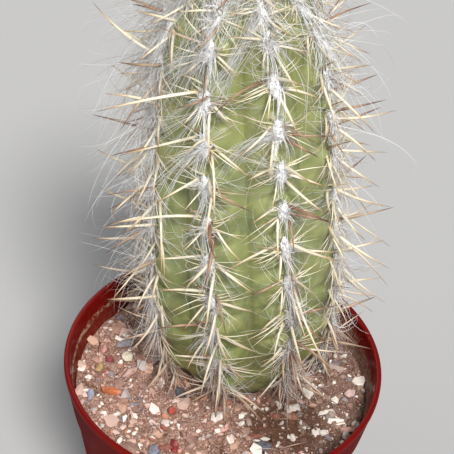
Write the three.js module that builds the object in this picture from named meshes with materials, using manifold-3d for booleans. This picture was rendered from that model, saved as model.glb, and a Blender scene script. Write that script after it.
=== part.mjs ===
// A potted oreocereus: a ribbed, spiny column cactus in a red plastic pot of gritty soil.
// Millimetres, +Z up. The origin is the middle of the pot's flat underside, and -Y is the front.

import * as THREE from 'three';
import { mergeVertices } from 'three/addons/utils/BufferGeometryUtils.js';
import Module from 'manifold-3d';

const wasm = await Module();
wasm.setup();

// Pot: a round plastic pot, 150 mm across its lip
const POT_HEIGHT = 130;
const LIP_RADIUS = 75;
const MOUTH_RADIUS = 72.4;
const FLOOR_RADIUS = 51;
const FLOOR_THICKNESS = 2.4;
const WALL = 1.8;
const LIP_DEPTH = 3.4;
const LIP_ROUND = 0.9;
const COLLAR_DEPTH = 24;
const COLLAR_STEP = 0.9;
const FOOT_CHAMFER = 1.5;
const POT_SIDES = 64;
const DRAIN_HOLES = 6;
const DRAIN_RADIUS = 4.5;
const DRAIN_CIRCLE = 33;
const DRAIN_SIDES = 14;

// Soil: a fill that ends a little below the lip, lower at the back, with a hole for the stem's foot
const SOIL_LEVEL = 113;
const SOIL_FALL = 0.022;
const GAP = 0.35;
const SOIL_RINGS = [66, 60, 53, 46, 39, 32, 25, 18, 10];
const GRAINS = 46;
const GRAIN_SIZE = [1.1, 2.3];
const GRAIN_CLEAR_OF_STEM = 37;
const GRAIN_CLEAR_OF_WALL = 5;

// Stem: its axis stands behind the middle of the pot and leans a little to the left as it rises
const STEM_X = 7;
const STEM_Y = 22;
const STEM_LEAN = -0.058;
const STEM_HEIGHT = 218;
const FOOT_DEPTH = 17;
const BELLY_RADIUS = 42.4;
const BELLY_HEIGHT = 70;
const STEM_TAPER = 0.055;
const CROWN_POWER = 9.66;
const BASE_NARROWING = 0.36;
const BASE_POWER = 4.2;

// Ribs: eight, twisting slightly, each a row of low tubercles with an areole on each tip
const RIBS = 8;
const RIB_TURN = 6;
const RIB_TWIST = -0.08;
const RIB_DEPTH = 0.135;
const RIB_ROUND = 2;
const RIB_FADE_HEIGHT = 24;
const TUBERCLE_RISE = 2.6;
const SIDES_PER_RIB = 6;
const RINGS_PER_AREOLE = 3;
const FOOT_RINGS = [-13, -6.5];

// Areoles: thirteen on each rib, each rib's row a little higher or lower, and closer in the young crown
const AREOLES_PER_RIB = 13;
const AREOLE_SPACING = 20;
const FIRST_AREOLE = 14;
const RIB_OFFSETS = [9.5, 1.5, 10, 2, 11, 6, 0.5, 0];
const YOUNG_HEIGHT = 175;
const CLOSEST_AREOLES = 1.5;

// Spines: six from each areole, one through each facet round it. A spine leans sideways from straight
// out by its swing and upwards by its rise, each give or take half its range, and some are extra long.
// A facet is named by its corners, counted in ring sides and ring rows from the areole.
const FACETS = {
  upperRight: [[0, 0], [1, 0], [0, 1]],
  right: [[1, 0], [0, 0], [1, -1]],
  lowerRight: [[0, -1], [1, -1], [0, 0]],
  lowerLeft: [[0, 0], [-1, 0], [0, -1]],
  left: [[-1, 0], [0, 0], [-1, 1]],
  upperLeft: [[0, 1], [-1, 1], [0, 0]],
};
const SPINES = [
  { facet: 'upperRight', swing: [8, 44], rise: [8, 22], length: [27, 8], radius: 0.8, extra: 0 },
  { facet: 'lowerRight', swing: [10, 40], rise: [-48, 18], length: [26, 10], radius: 0.78, extra: 0 },
  { facet: 'right', swing: [62, 22], rise: [-6, 40], length: [21, 8], radius: 0.74, extra: 17 },
  { facet: 'left', swing: [-62, 22], rise: [-2, 40], length: [21, 8], radius: 0.74, extra: 17 },
  { facet: 'lowerLeft', swing: [-38, 28], rise: [-38, 24], length: [18, 8], radius: 0.6, extra: 0 },
  { facet: 'upperLeft', swing: [-24, 30], rise: [38, 20], length: [14, 6], radius: 0.52, extra: 0 },
];
// Spines measured in the photo: the rib and row of the areole, the number of the kind in the list above,
// then the spine's own swing, rise and length
const MEASURED = [
  [7, 9, 3, -56, -10, 43],
  [7, 7, 3, -48, -22, 22],
  [6, 6, 3, 6, -32, 27],
  [6, 5, 3, -15, -10, 22],
  [6, 5, 4, -4, -22, 26],
  [6, 4, 3, 12, -36, 30],
  [6, 7, 3, 18, -42, 21],
  [0, 7, 1, 37, -32, 24],
  [0, 4, 1, -6, -44, 27],
  [0, 4, 2, -1, -41, 43],
  [1, 8, 2, 22, 3, 28],
  [1, 7, 2, -7, -26, 25],
  [1, 5, 2, 25, 12, 25],
  [1, 5, 1, -10, -23, 31],
  [1, 4, 2, -20, -27, 32],
  [1, 3, 2, 4, -4, 22],
  [0, 8, 1, 50, -26, 18],
  [0, 6, 1, -8, -50, 16],
];
const LONG_SHARE = 0.14;
const CROWN_SPINES = 4;
const CROWN_ROWS = 3;
const SPINE_ROOT = 3;
const SPINE_SIDES = 3;
const YOUNG_SPINE = 0.7;
const YOUNG_REACH = 40;
const LIFT_STEP = 6;
const LIFT_LIMIT = 14;
const CLEAR_OF_SOIL = 5;
const CLEAR_OF_WALL = 2;

// Stone chips, each with the size of its box: where it lies, and how far it is turned
const CHIPS = [
  { name: 'chip_orange', x: -51.4, y: -12.4, size: [12.4, 4.4, 4.2], turn: -10, color: 0xc4764c },
  { name: 'chip_red', x: -18.6, y: -43.2, size: [4, 9, 5], turn: 8, color: 0x9b3a38 },
  { name: 'chip_blue_grey', x: -60.6, y: -16, size: [3.8, 8, 4.2], turn: 4, color: 0xa9adbd },
  { name: 'chip_pink', x: -58.6, y: 15.4, size: [4, 5.6, 4], turn: -20, color: 0xc79690 },
  { name: 'chip_dark_red', x: -54.8, y: 8.8, size: [4.4, 5.2, 4], turn: 30, color: 0x94454a },
  { name: 'chip_cream', x: -46.6, y: 10.8, size: [6.4, 6.6, 5], turn: 15, color: 0xe0d9c4 },
  { name: 'chip_tan', x: -58.8, y: 1.8, size: [4.4, 5.8, 4], turn: -15, color: 0xb9996b },
  { name: 'chip_long_pink', x: -43.8, y: 0.4, size: [13.6, 3.6, 3.8], turn: 48, color: 0xc9a79c },
  { name: 'chip_grey_slab', x: -48.6, y: 20.4, size: [11, 4.6, 3.8], turn: 24, color: 0x9c969a },
  { name: 'chip_charcoal', x: -19.4, y: -8.4, size: [9.6, 5.4, 5], turn: -52, color: 0x5b5a60 },
  { name: 'chip_brick', x: -21.6, y: -22.4, size: [4.6, 5, 4.4], turn: 10, color: 0xb3543f },
  { name: 'chip_white', x: -24.4, y: -30.2, size: [4.6, 5, 4.2], turn: 35, color: 0xd9cdc4 },
  { name: 'chip_grey_blue', x: -27.4, y: -46.8, size: [6.4, 7, 4.4], turn: -30, color: 0x8e8f9c },
  { name: 'chip_dark_grey', x: 21.5, y: -38.1, size: [10.6, 6.6, 4.4], turn: 6, color: 0x5f5d66 },
  { name: 'chip_bead', x: 54.6, y: -5.4, size: [4.4, 4.4, 4.2], turn: 0, color: 0xeae6dc },
  { name: 'chip_pale_pink', x: 61.6, y: 0.6, size: [6.6, 4.8, 4], turn: 28, color: 0xc7aca6 },
  { name: 'chip_right_white', x: 60.2, y: -26.4, size: [4.6, 5.6, 4.2], turn: -25, color: 0xddd5ca },
  { name: 'chip_back_tan', x: -36.4, y: 47, size: [8, 5.4, 4.2], turn: -35, color: 0xb39a78 },
  { name: 'chip_back_cream', x: 50.6, y: 37, size: [6.4, 6, 4.4], turn: 20, color: 0xdcd4bf },
];
const CHIP_RAISED = 0.12;
const CHIP_ROUGHNESS = 0.16;

// Colours
const POT_RED = 0x8e1713;
const SOIL_BROWN = 0x8f7468;
const STEM_GREEN = 0x8a9a4c;

const clamp = THREE.MathUtils.clamp;
const radians = THREE.MathUtils.degToRad;

// A repeatable draw between 0 and 1 for the k-th choice of item n
function draw(n, k) {
  const wave = Math.sin(n * 12.9898 + k * 78.233) * 43758.5453;
  return wave - Math.floor(wave);
}

// A closed geometry as a solid, and a solid as a named mesh

function solidOf(geometry) {
  geometry.deleteAttribute('normal');
  geometry.deleteAttribute('uv');
  const welded = mergeVertices(geometry, 1e-4);
  const corners = welded.index.array;
  const kept = [];
  for (let i = 0; i < corners.length; i += 3) {
    const [a, b, c] = [corners[i], corners[i + 1], corners[i + 2]];
    if (a !== b && b !== c && c !== a) kept.push(a, b, c);
  }
  const vertProperties = new Float32Array(welded.attributes.position.array);
  return new wasm.Manifold(new wasm.Mesh({ numProp: 3, vertProperties, triVerts: new Uint32Array(kept) }));
}

function meshOf(name, solid, color, roughness) {
  const { vertProperties, triVerts } = solid.getMesh();
  const geometry = new THREE.BufferGeometry();
  geometry.setAttribute('position', new THREE.BufferAttribute(vertProperties, 3));
  geometry.setIndex(new THREE.BufferAttribute(triVerts, 1));
  geometry.computeVertexNormals();
  const mesh = new THREE.Mesh(geometry, new THREE.MeshStandardMaterial({ color, roughness, metalness: 0 }));
  mesh.name = name;
  return mesh;
}

// A profile of [radius, height] pairs spun round the Z axis
function lathe(profile, sides) {
  const points = profile.map(([r, z]) => new THREE.Vector2(r, z));
  return new THREE.LatheGeometry(points, sides).rotateX(Math.PI / 2);
}

function moveVertices(geometry, move) {
  const position = geometry.attributes.position;
  const point = new THREE.Vector3();
  for (let i = 0; i < position.count; i++) {
    point.fromBufferAttribute(position, i);
    move(point);
    position.setXYZ(i, point.x, point.y, point.z);
  }
  return geometry;
}

// Pot

function innerRadius(z) {
  return THREE.MathUtils.mapLinear(z, FLOOR_THICKNESS, POT_HEIGHT, FLOOR_RADIUS, MOUTH_RADIUS);
}

function buildPot() {
  const outside = (z) => innerRadius(z) + WALL;
  const collar = (z) => outside(z) + COLLAR_STEP;
  const collarFoot = POT_HEIGHT - COLLAR_DEPTH;
  const lipFoot = POT_HEIGHT - LIP_DEPTH;
  const profile = [
    [0, 0],
    [outside(0) - FOOT_CHAMFER, 0],
    [outside(FOOT_CHAMFER), FOOT_CHAMFER],
    [outside(collarFoot), collarFoot],
    [collar(collarFoot), collarFoot + COLLAR_STEP],
    [collar(lipFoot), lipFoot],
    [LIP_RADIUS, lipFoot + LIP_ROUND],
    [LIP_RADIUS, POT_HEIGHT - LIP_ROUND],
    [LIP_RADIUS - LIP_ROUND, POT_HEIGHT],
    [MOUTH_RADIUS + LIP_ROUND, POT_HEIGHT],
    [MOUTH_RADIUS, POT_HEIGHT - LIP_ROUND],
    [FLOOR_RADIUS, FLOOR_THICKNESS],
    [0, FLOOR_THICKNESS],
  ];
  let pot = solidOf(lathe(profile, POT_SIDES));
  for (let i = 0; i < DRAIN_HOLES; i++) {
    const angle = (i / DRAIN_HOLES) * 2 * Math.PI;
    const drill = new THREE.CylinderGeometry(DRAIN_RADIUS, DRAIN_RADIUS, 3 * FLOOR_THICKNESS, DRAIN_SIDES);
    drill.rotateX(Math.PI / 2).translate(DRAIN_CIRCLE * Math.cos(angle), DRAIN_CIRCLE * Math.sin(angle), 0);
    pot = pot.subtract(solidOf(drill));
  }
  return meshOf('pot', pot, POT_RED, 0.3);
}

// Stem shape, in its own frame: s is the height above the soil, and the axis meets the soil at the origin

function crestRadius(s) {
  const crown = Math.sqrt(Math.max(0, 1 - Math.pow(Math.max(s, 0) / STEM_HEIGHT, CROWN_POWER)));
  const above = Math.max(0, s - BELLY_HEIGHT);
  const below = Math.max(0, BELLY_HEIGHT - s) / BELLY_HEIGHT;
  const base = 1 - BASE_NARROWING * Math.pow(below, BASE_POWER);
  return Math.max(0, BELLY_RADIUS - STEM_TAPER * above) * crown * Math.max(0, base);
}

// How far the ribs have turned round the axis at height s
function twist(s) {
  return radians(RIB_TURN + RIB_TWIST * (s - STEM_HEIGHT / 2));
}

// The middle of rib k, before the twist
function ribAngle(k) {
  return radians((k + 0.5) * (360 / RIBS));
}

// The height of row t on rib k: whole rows carry the areoles, row 0 is the soil, and the last is the tip
function rowHeight(k, t) {
  const rows = [0];
  let s = FIRST_AREOLE + RIB_OFFSETS[(k + RIBS) % RIBS];
  while (rows.length <= AREOLES_PER_RIB) {
    rows.push(s);
    const young = clamp((s - YOUNG_HEIGHT) / (STEM_HEIGHT - YOUNG_HEIGHT), 0, 1);
    s += THREE.MathUtils.lerp(AREOLE_SPACING, CLOSEST_AREOLES, young);
  }
  rows.push(STEM_HEIGHT, STEM_HEIGHT);
  const below = Math.floor(t);
  return THREE.MathUtils.lerp(rows[below], rows[below + 1], t - below);
}

// A point on the ribs' crests, or at another radius, at an angle before the twist
function axisPoint(angle, s, radius) {
  const turned = angle + twist(s);
  return new THREE.Vector3(STEM_LEAN * s + radius * Math.sin(turned), -radius * Math.cos(turned), s);
}

// The skin at an angle on row t: ribs with rounded crests, and a tubercle round each areole
function skinPoint(angle, t) {
  const slot = angle / ((2 * Math.PI) / RIBS) - 0.5;
  const left = Math.floor(slot);
  const between = slot - left;
  const across = 1 - Math.abs(2 * between - 1);
  const s = THREE.MathUtils.lerp(rowHeight(left, t), rowHeight(left + 1, t), between);
  const fade = THREE.MathUtils.smoothstep(s, 0, RIB_FADE_HEIGHT);
  const furrow = RIB_DEPTH * fade * Math.pow(across, RIB_ROUND);
  const onCrest = (1 - across * across) ** 2;
  const tubercle = t > 0.5 ? TUBERCLE_RISE * ((1 + Math.cos(2 * Math.PI * t)) / 2) ** 2 : 0;
  const young = Math.min(1, (STEM_HEIGHT - s) / 20);
  return axisPoint(angle, s, crestRadius(s) * (1 - furrow) + tubercle * onCrest * young);
}

function stemBody() {
  const rows = [];
  for (let i = 0; i < (AREOLES_PER_RIB + 1) * RINGS_PER_AREOLE; i++) rows.push(i / RINGS_PER_AREOLE);
  const rings = [...FOOT_RINGS, ...rows].map((t) => [1, t]);
  const profile = [[0, -FOOT_DEPTH], ...rings, [0, AREOLES_PER_RIB + 1]];
  return moveVertices(lathe(profile, RIBS * SIDES_PER_RIB), (point) => {
    const t = point.z;
    const angle = Math.atan2(point.x, -point.y);
    if (Math.hypot(point.x, point.y) < 0.5) point.copy(axisPoint(0, t < 0 ? t : STEM_HEIGHT, 0));
    else point.copy(t < 0 ? axisPoint(angle, t, crestRadius(t)) : skinPoint(angle, t));
  });
}

// The outward, sideways and upward directions at areole j of rib k
function areoleFrame(k, j) {
  const angle = ribAngle(k);
  const s = rowHeight(k, j);
  const up = axisPoint(angle, s + 1, crestRadius(s + 1)).sub(axisPoint(angle, s - 1, crestRadius(s - 1)));
  const turned = angle + twist(s);
  const side = new THREE.Vector3(Math.cos(turned), Math.sin(turned), 0);
  const out = new THREE.Vector3().crossVectors(side, up.normalize()).normalize();
  side.crossVectors(up, out);
  return { out, side, up };
}

// The spines of areole j on rib k, shorter where the stem is young
function spinesOf(k, j) {
  const age = clamp((STEM_HEIGHT - rowHeight(k, j)) / YOUNG_REACH, 0, 1);
  const grown = THREE.MathUtils.lerp(YOUNG_SPINE, 1, age);
  const count = j > AREOLES_PER_RIB - CROWN_ROWS ? CROWN_SPINES : SPINES.length;
  return SPINES.slice(0, count).map((kind, i) => {
    const pick = ([middle, range], choice) => middle + range * (draw(16 * k + j, 5 * i + choice) - 0.5);
    const extra = draw(16 * k + j, 5 * i + 4) < LONG_SHARE ? kind.extra : 0;
    const drawn = [pick(kind.swing, 1), pick(kind.rise, 2), (pick(kind.length, 3) + extra) * grown];
    const measured = MEASURED.find(([rib, row, number]) => rib === k && row === j && number === i);
    const [swing, rise, length] = measured ? measured.slice(3) : drawn;
    const corners = FACETS[kind.facet].map(([column, row]) => {
      const angle = ribAngle(k) + (column * 2 * Math.PI) / (RIBS * SIDES_PER_RIB);
      return skinPoint(angle, j + row / RINGS_PER_AREOLE);
    });
    return {
      seat: corners.reduce((sum, corner) => sum.add(corner)).divideScalar(corners.length),
      swing: radians(swing),
      rise: radians(rise),
      length,
      radius: kind.radius * grown,
    };
  });
}

function isClear(point) {
  const x = point.x + STEM_X;
  const y = point.y + STEM_Y;
  const z = point.z + SOIL_LEVEL;
  if (Math.hypot(x, y) > LIP_RADIUS + CLEAR_OF_WALL || z > POT_HEIGHT + CLEAR_OF_WALL) return true;
  return z > soilTop(x, y) + CLEAR_OF_SOIL && Math.hypot(x, y) < innerRadius(z) - CLEAR_OF_WALL;
}

// The spine's direction, lifted in steps until its outer half is clear of the soil and the pot
function spineDirection(frame, spine) {
  const direction = new THREE.Vector3();
  for (let lift = 0; lift < LIFT_LIMIT; lift++) {
    direction.copy(frame.out).multiplyScalar(Math.cos(spine.swing) * Math.cos(spine.rise));
    direction.addScaledVector(frame.side, Math.sin(spine.swing) * Math.cos(spine.rise));
    direction.addScaledVector(frame.up, Math.sin(spine.rise));
    direction.z += Math.tan(radians(lift * LIFT_STEP));
    direction.normalize();
    const reached = (part) => spine.seat.clone().addScaledVector(direction, part * spine.length);
    if ([0.45, 0.6, 0.8, 1].every((part) => isClear(reached(part)))) break;
  }
  return direction;
}

// A needle that stands on its seat, with its root sunk below it
function needle(frame, spine) {
  const length = spine.length + SPINE_ROOT;
  const cone = new THREE.ConeGeometry(spine.radius, length, SPINE_SIDES);
  cone.translate(0, length / 2 - SPINE_ROOT, 0);
  const direction = spineDirection(frame, spine);
  cone.applyQuaternion(new THREE.Quaternion().setFromUnitVectors(new THREE.Vector3(0, 1, 0), direction));
  return cone.translate(spine.seat.x, spine.seat.y, spine.seat.z);
}

function buildStem() {
  const pieces = [solidOf(stemBody())];
  for (let k = 0; k < RIBS; k++) {
    for (let j = 1; j <= AREOLES_PER_RIB; j++) {
      const frame = areoleFrame(k, j);
      spinesOf(k, j).forEach((spine) => pieces.push(solidOf(needle(frame, spine))));
    }
  }
  const stem = meshOf('stem', wasm.Manifold.union(pieces), STEM_GREEN, 0.55);
  stem.position.set(STEM_X, STEM_Y, SOIL_LEVEL);
  return stem;
}

// Soil

function soilTop(x, y) {
  const waves = 0.8 * Math.sin(0.13 * x + 1.3) * Math.cos(0.11 * y) + 0.5 * Math.sin(0.31 * x + 0.22 * y);
  const near = Math.hypot(x - STEM_X, y - STEM_Y) - crestRadius(0);
  return SOIL_LEVEL - SOIL_FALL * y + waves * clamp(near / 12, 0, 1);
}

// A stone's rough block, with its corners shifted by repeatable draws
function stone(chip, n) {
  const block = new THREE.IcosahedronGeometry(1, 0);
  const corner = (point) => Math.round((point.x * 5 + point.y * 11 + point.z * 23) * 10);
  moveVertices(block, (point) => {
    point.multiplyScalar(1 + CHIP_ROUGHNESS * (2 * draw(corner(point), n) - 1));
  });
  return block.scale(chip.size[0] / 2, chip.size[1] / 2, chip.size[2] / 2);
}

function placeOf(chip) {
  return [chip.x, chip.y, soilTop(chip.x, chip.y) + chip.size[2] * CHIP_RAISED];
}

function buildChip(chip, n) {
  const mesh = meshOf(chip.name, solidOf(stone(chip, n)), chip.color, 0.8);
  mesh.position.set(...placeOf(chip));
  mesh.rotation.z = radians(chip.turn);
  return mesh;
}

// The room that a chip takes in the soil
function pocket(chip, n) {
  const room = { ...chip, size: chip.size.map((side) => side + 2.6 * GAP) };
  return stone(room, n).rotateZ(radians(chip.turn)).translate(...placeOf(chip));
}

function grains() {
  const pieces = [];
  for (let i = 0; pieces.length < GRAINS; i++) {
    const angle = 2 * Math.PI * draw(i, 31);
    const reach = (innerRadius(SOIL_LEVEL) - GRAIN_CLEAR_OF_WALL) * Math.sqrt(draw(i, 32));
    const x = reach * Math.cos(angle);
    const y = reach * Math.sin(angle);
    const size = THREE.MathUtils.lerp(...GRAIN_SIZE, draw(i, 33));
    const nearChip = CHIPS.some((chip) => Math.hypot(chip.x - x, chip.y - y) < chip.size[0] / 2 + size + 3);
    if (nearChip || Math.hypot(x - STEM_X, y - STEM_Y) < GRAIN_CLEAR_OF_STEM) continue;
    const grain = new THREE.OctahedronGeometry(size, 0).rotateZ(i).translate(x, y, soilTop(x, y));
    pieces.push(solidOf(grain));
  }
  return pieces;
}

// The hole for the stem's foot: the foot's own shape, a gap wider, and open above the soil
function stemHole() {
  const rings = [];
  for (let s = 3 - FOOT_DEPTH; s <= 9; s += 3) rings.push([crestRadius(s) + 2.2 * GAP, s]);
  const profile = [[0, -FOOT_DEPTH - 2 * GAP], ...rings, [0, rings[rings.length - 1][1]]];
  const hole = lathe(profile, RIBS * SIDES_PER_RIB);
  return moveVertices(hole, (point) => {
    point.x += STEM_X + STEM_LEAN * point.z;
    point.y += STEM_Y;
    point.z += SOIL_LEVEL;
  });
}

function buildSoil() {
  const floor = FLOOR_THICKNESS + GAP;
  const profile = [
    [0, floor],
    [innerRadius(floor) - GAP, floor],
    [innerRadius(SOIL_LEVEL) - GAP, SOIL_LEVEL],
    ...SOIL_RINGS.map((r) => [r, SOIL_LEVEL]),
    [0, SOIL_LEVEL],
  ];
  const fill = moveVertices(lathe(profile, POT_SIDES), (point) => {
    if (point.z < SOIL_LEVEL - 1) return;
    point.z = soilTop(point.x, point.y);
    const reach = Math.hypot(point.x, point.y);
    const most = innerRadius(point.z) - GAP;
    if (reach > most) point.set((point.x * most) / reach, (point.y * most) / reach, point.z);
  });
  let soil = wasm.Manifold.union([solidOf(fill), ...grains()]);
  soil = soil.subtract(solidOf(stemHole()));
  CHIPS.forEach((chip, n) => {
    soil = soil.subtract(solidOf(pocket(chip, n)));
  });
  return meshOf('soil', soil, SOIL_BROWN, 0.9);
}

const plant = new THREE.Group();
plant.add(buildPot(), buildSoil(), buildStem());
CHIPS.forEach((chip, n) => plant.add(buildChip(chip, n)));

export default plant;
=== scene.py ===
# %% [markdown]
# # A potted oreocereus
# A ribbed column cactus, wrapped in spines and silky white hair, stands in a red plastic pot of gritty
# soil. Its solid parts come as a fixed frame at their real size. This notebook gives each of them its
# fine shape and its finish, one step at a time, and adds what is too fine for a solid, such as wool.

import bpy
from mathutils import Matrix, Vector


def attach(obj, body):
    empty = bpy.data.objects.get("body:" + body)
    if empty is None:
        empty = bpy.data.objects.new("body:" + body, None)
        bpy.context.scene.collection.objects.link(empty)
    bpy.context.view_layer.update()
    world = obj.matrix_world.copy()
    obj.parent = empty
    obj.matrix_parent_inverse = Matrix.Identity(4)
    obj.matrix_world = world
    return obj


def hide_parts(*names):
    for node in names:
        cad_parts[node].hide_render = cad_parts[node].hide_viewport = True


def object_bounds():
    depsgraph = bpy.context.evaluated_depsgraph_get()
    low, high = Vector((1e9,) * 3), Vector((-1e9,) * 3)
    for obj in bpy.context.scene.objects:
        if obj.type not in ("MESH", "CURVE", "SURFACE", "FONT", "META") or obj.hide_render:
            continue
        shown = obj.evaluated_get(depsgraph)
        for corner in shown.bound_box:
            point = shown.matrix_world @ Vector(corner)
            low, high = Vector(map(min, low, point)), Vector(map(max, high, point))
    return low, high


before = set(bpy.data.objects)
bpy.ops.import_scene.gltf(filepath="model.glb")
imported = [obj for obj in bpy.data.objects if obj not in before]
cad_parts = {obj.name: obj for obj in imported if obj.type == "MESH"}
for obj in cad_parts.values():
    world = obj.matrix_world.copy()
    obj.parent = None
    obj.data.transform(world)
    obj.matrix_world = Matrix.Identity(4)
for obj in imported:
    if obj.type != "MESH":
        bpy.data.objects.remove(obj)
cad_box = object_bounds()
print("frame nodes:", len(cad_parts), "box:", [tuple(round(c, 4) for c in p) for p in cad_box])

# %% The libraries
import math
import random

import bmesh
import bpy
import numpy as np
from mathutils import Matrix, Vector, noise

scene = bpy.context.scene
print("Blender", bpy.app.version_string)

# %% [markdown]
# ## Sizes
# The plant was measured in millimetres, so every length below is in millimetres too. Each mesh is built
# at that size and shrunk to metres as it becomes an object. That is easier to read and to check against
# a ruler than lengths with three zeros. X is right, -Y is the front, and the pot stands on height 0.

# %% Sizes of the pot and the soil
MM = 0.001
POT_HEIGHT = 130
LIP_RADIUS = 75
MOUTH_RADIUS = 72.4
FLOOR_RADIUS = 51
FLOOR_THICKNESS = 2.4
WALL = 1.8
LIP_DEPTH = 3.4
COLLAR_DEPTH = 24
COLLAR_STEP = 0.9
FOOT_CHAMFER = 1.5
SOIL_LEVEL = 113
SOIL_FALL = 0.022
GAP = 0.35
CHIPS = sorted(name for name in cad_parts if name.startswith("chip_"))
print("pot", 2 * LIP_RADIUS, "x", POT_HEIGHT, "mm, loose stones:", len(CHIPS))

# %% Sizes of the stem
STEM_X = 7
STEM_Y = 22
STEM_LEAN = -0.058
STEM_HEIGHT = 218
FOOT_DEPTH = 17
BELLY_RADIUS = 42.4
BELLY_HEIGHT = 70
STEM_TAPER = 0.055
CROWN_POWER = 9.66
BASE_NARROWING = 0.36
BASE_POWER = 4.2
RIBS = 8
RIB_TURN = 6
RIB_TWIST = -0.08
RIB_DEPTH = 0.135
RIB_FADE_HEIGHT = 24
TUBERCLE_RISE = 2.6
SIDES_PER_RIB = 6
ROWS_PER_AREOLE = 3
AREOLES_PER_RIB = 13
AREOLE_SPACING = 20
FIRST_AREOLE = 14
RIB_OFFSETS = (9.5, 1.5, 10, 2, 11, 6, 0.5, 0)
YOUNG_HEIGHT = 175
CLOSEST_AREOLES = 1.5
OLD_ROWS = 3
TIP_FADE = 20
STEM_FOOT = np.array((STEM_X, STEM_Y, SOIL_LEVEL))
print("stem", 2 * BELLY_RADIUS, "x", STEM_HEIGHT, "mm with", RIBS * AREOLES_PER_RIB, "areoles")

# %% [markdown]
# ## Camera
# The photograph looks down on the pot from in front at about 46 degrees, from some 70 cm away, with the
# camera rolled a little. The view is worked out from where the pot's round mouth and the stem's base
# lie in the picture. A camera is placed by one matrix: its place, and the three directions it is turned to.

# %% Place the camera
PHOTO_WIDTH = 454
FOCAL_PIXELS = 1500
SENSOR = 36
VIEW_DISTANCE = 711.05
VIEW_HEIGHT = math.radians(45.653)
VIEW_PAN = math.radians(-0.453)
VIEW_TILT = math.radians(4.996)
VIEW_ROLL = math.radians(5.148)


def add_object(name, data):
    item = bpy.data.objects.new(name, data)
    scene.collection.objects.link(item)
    return item


def view_matrix():
    """The camera's place and directions, worked out from the middle of the pot's mouth."""
    back = Vector((0, -math.cos(VIEW_HEIGHT), math.sin(VIEW_HEIGHT)))
    place = Vector((0, 0, POT_HEIGHT)) + VIEW_DISTANCE * back
    climb = VIEW_TILT - VIEW_HEIGHT
    level = math.cos(climb)
    ahead = Vector((math.sin(VIEW_PAN) * level, math.cos(VIEW_PAN) * level, math.sin(climb)))
    right = ahead.cross(Vector((0, 0, 1))).normalized()
    turned = Matrix((right, right.cross(ahead), -ahead)).transposed()
    turned = turned @ Matrix.Rotation(VIEW_ROLL, 3, "Z")
    return Matrix.LocRotScale(place * MM, turned, None)


camera_data = bpy.data.cameras.new("photo_view")
camera_data.sensor_width = SENSOR
camera_data.lens = SENSOR * FOCAL_PIXELS / PHOTO_WIDTH
camera_data.clip_start = 0.01
camera = add_object("photo_view", camera_data)
camera.matrix_world = view_matrix()
scene.camera = camera
print("lens", round(camera_data.lens, 1), "mm at", [round(c, 3) for c in camera.location])

# %% [markdown]
# ## Shader maths
# A finish is a web of small nodes. Adding them by hand takes five lines each, so two small classes do it:
# `Wire` wraps a node's output, and `+`, `-`, `*`, `/` and `**` on it add Math nodes. `Finish` wraps a
# material, and its one method `node` adds any other kind of node. A formula then reads as on paper.

# %% Wires and finishes


class Wire:
    """A node's output. Arithmetic on it adds Math nodes to the same finish."""

    def __init__(self, finish, socket):
        self.finish = finish
        self.socket = socket

    def math(self, operation, *values):
        return self.finish.node("ShaderNodeMath", {"operation": operation}, dict(enumerate(values)))

    def __add__(self, other):
        return self.math("ADD", self, other)

    def __sub__(self, other):
        return self.math("SUBTRACT", self, other)

    def __mul__(self, other):
        return self.math("MULTIPLY", self, other)

    def __truediv__(self, other):
        return self.math("DIVIDE", self, other)

    def __pow__(self, other):
        return self.math("POWER", self, other)

    def __rsub__(self, other):
        return self.math("SUBTRACT", other, self)

    __radd__ = __add__
    __rmul__ = __mul__

    def between(self, low, high):
        """0 below low, 1 above high, and a smooth rise from one to the other."""
        settings = {"interpolation_type": "SMOOTHSTEP"}
        return self.finish.node("ShaderNodeMapRange", settings, {0: self, 1: low, 2: high})


class Finish:
    """A material in the making. Settings come before sockets, because they can change the sockets."""

    def __init__(self, name, **constants):
        self.material = bpy.data.materials.new(name)
        self.material.use_nodes = True
        self.tree = self.material.node_tree
        self.shader = self.tree.nodes["Principled BSDF"]
        for socket, value in constants.items():
            self.shader.inputs[socket.replace("_", " ")].default_value = value

    def feed(self, socket, value):
        if isinstance(value, Wire):
            self.tree.links.new(value.socket, socket)
        elif hasattr(value, "__len__") and len(value) == 3 and socket.type == "RGBA":
            socket.default_value = (*value, 1)
        else:
            socket.default_value = value

    def node(self, kind, settings=None, sockets=None, output=0):
        made = self.tree.nodes.new(kind)
        for name, value in (settings or {}).items():
            if name == "stops":
                fill_ramp(made.color_ramp, value)
            elif name == "step":
                made.color_ramp.interpolation = value
            else:
                setattr(made, name, value)
        for socket, value in (sockets or {}).items():
            self.feed(made.inputs[socket], value)
        return Wire(self, made.outputs[output])

    def place(self):
        return self.node("ShaderNodeTexCoord", output=3)

    def axis(self, number):
        """How far along X, Y or Z a point is, in millimetres."""
        return self.node("ShaderNodeSeparateXYZ", sockets={0: self.place()}, output=number) / MM

    def attribute(self, name):
        return self.node("ShaderNodeAttribute", {"attribute_name": name}, output=2)

    def noise(self, size, detail=3, rough=0.5):
        """Soft noise between 0 and 1, whose patches are about size millimetres across."""
        sockets = {"Vector": self.place(), "Scale": 1 / (size * MM), "Detail": detail, "Roughness": rough}
        return self.node("ShaderNodeTexNoise", sockets=sockets)

    def ramp(self, value, stops, step="LINEAR"):
        return self.node("ShaderNodeValToRGB", {"stops": stops, "step": step}, {0: value})

    def mix(self, share, first, second):
        return self.node("ShaderNodeMix", {"data_type": "RGBA"}, {0: share, 6: first, 7: second}, output=2)

    def set(self, socket, value):
        self.feed(self.shader.inputs[socket], value)

    def bump(self, height, depth, strength=1.0):
        """Relief: height runs from 0 to 1, and depth is its size in millimetres."""
        sockets = {"Height": height, "Distance": depth * MM, "Strength": strength}
        self.set("Normal", self.node("ShaderNodeBump", sockets=sockets))


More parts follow.
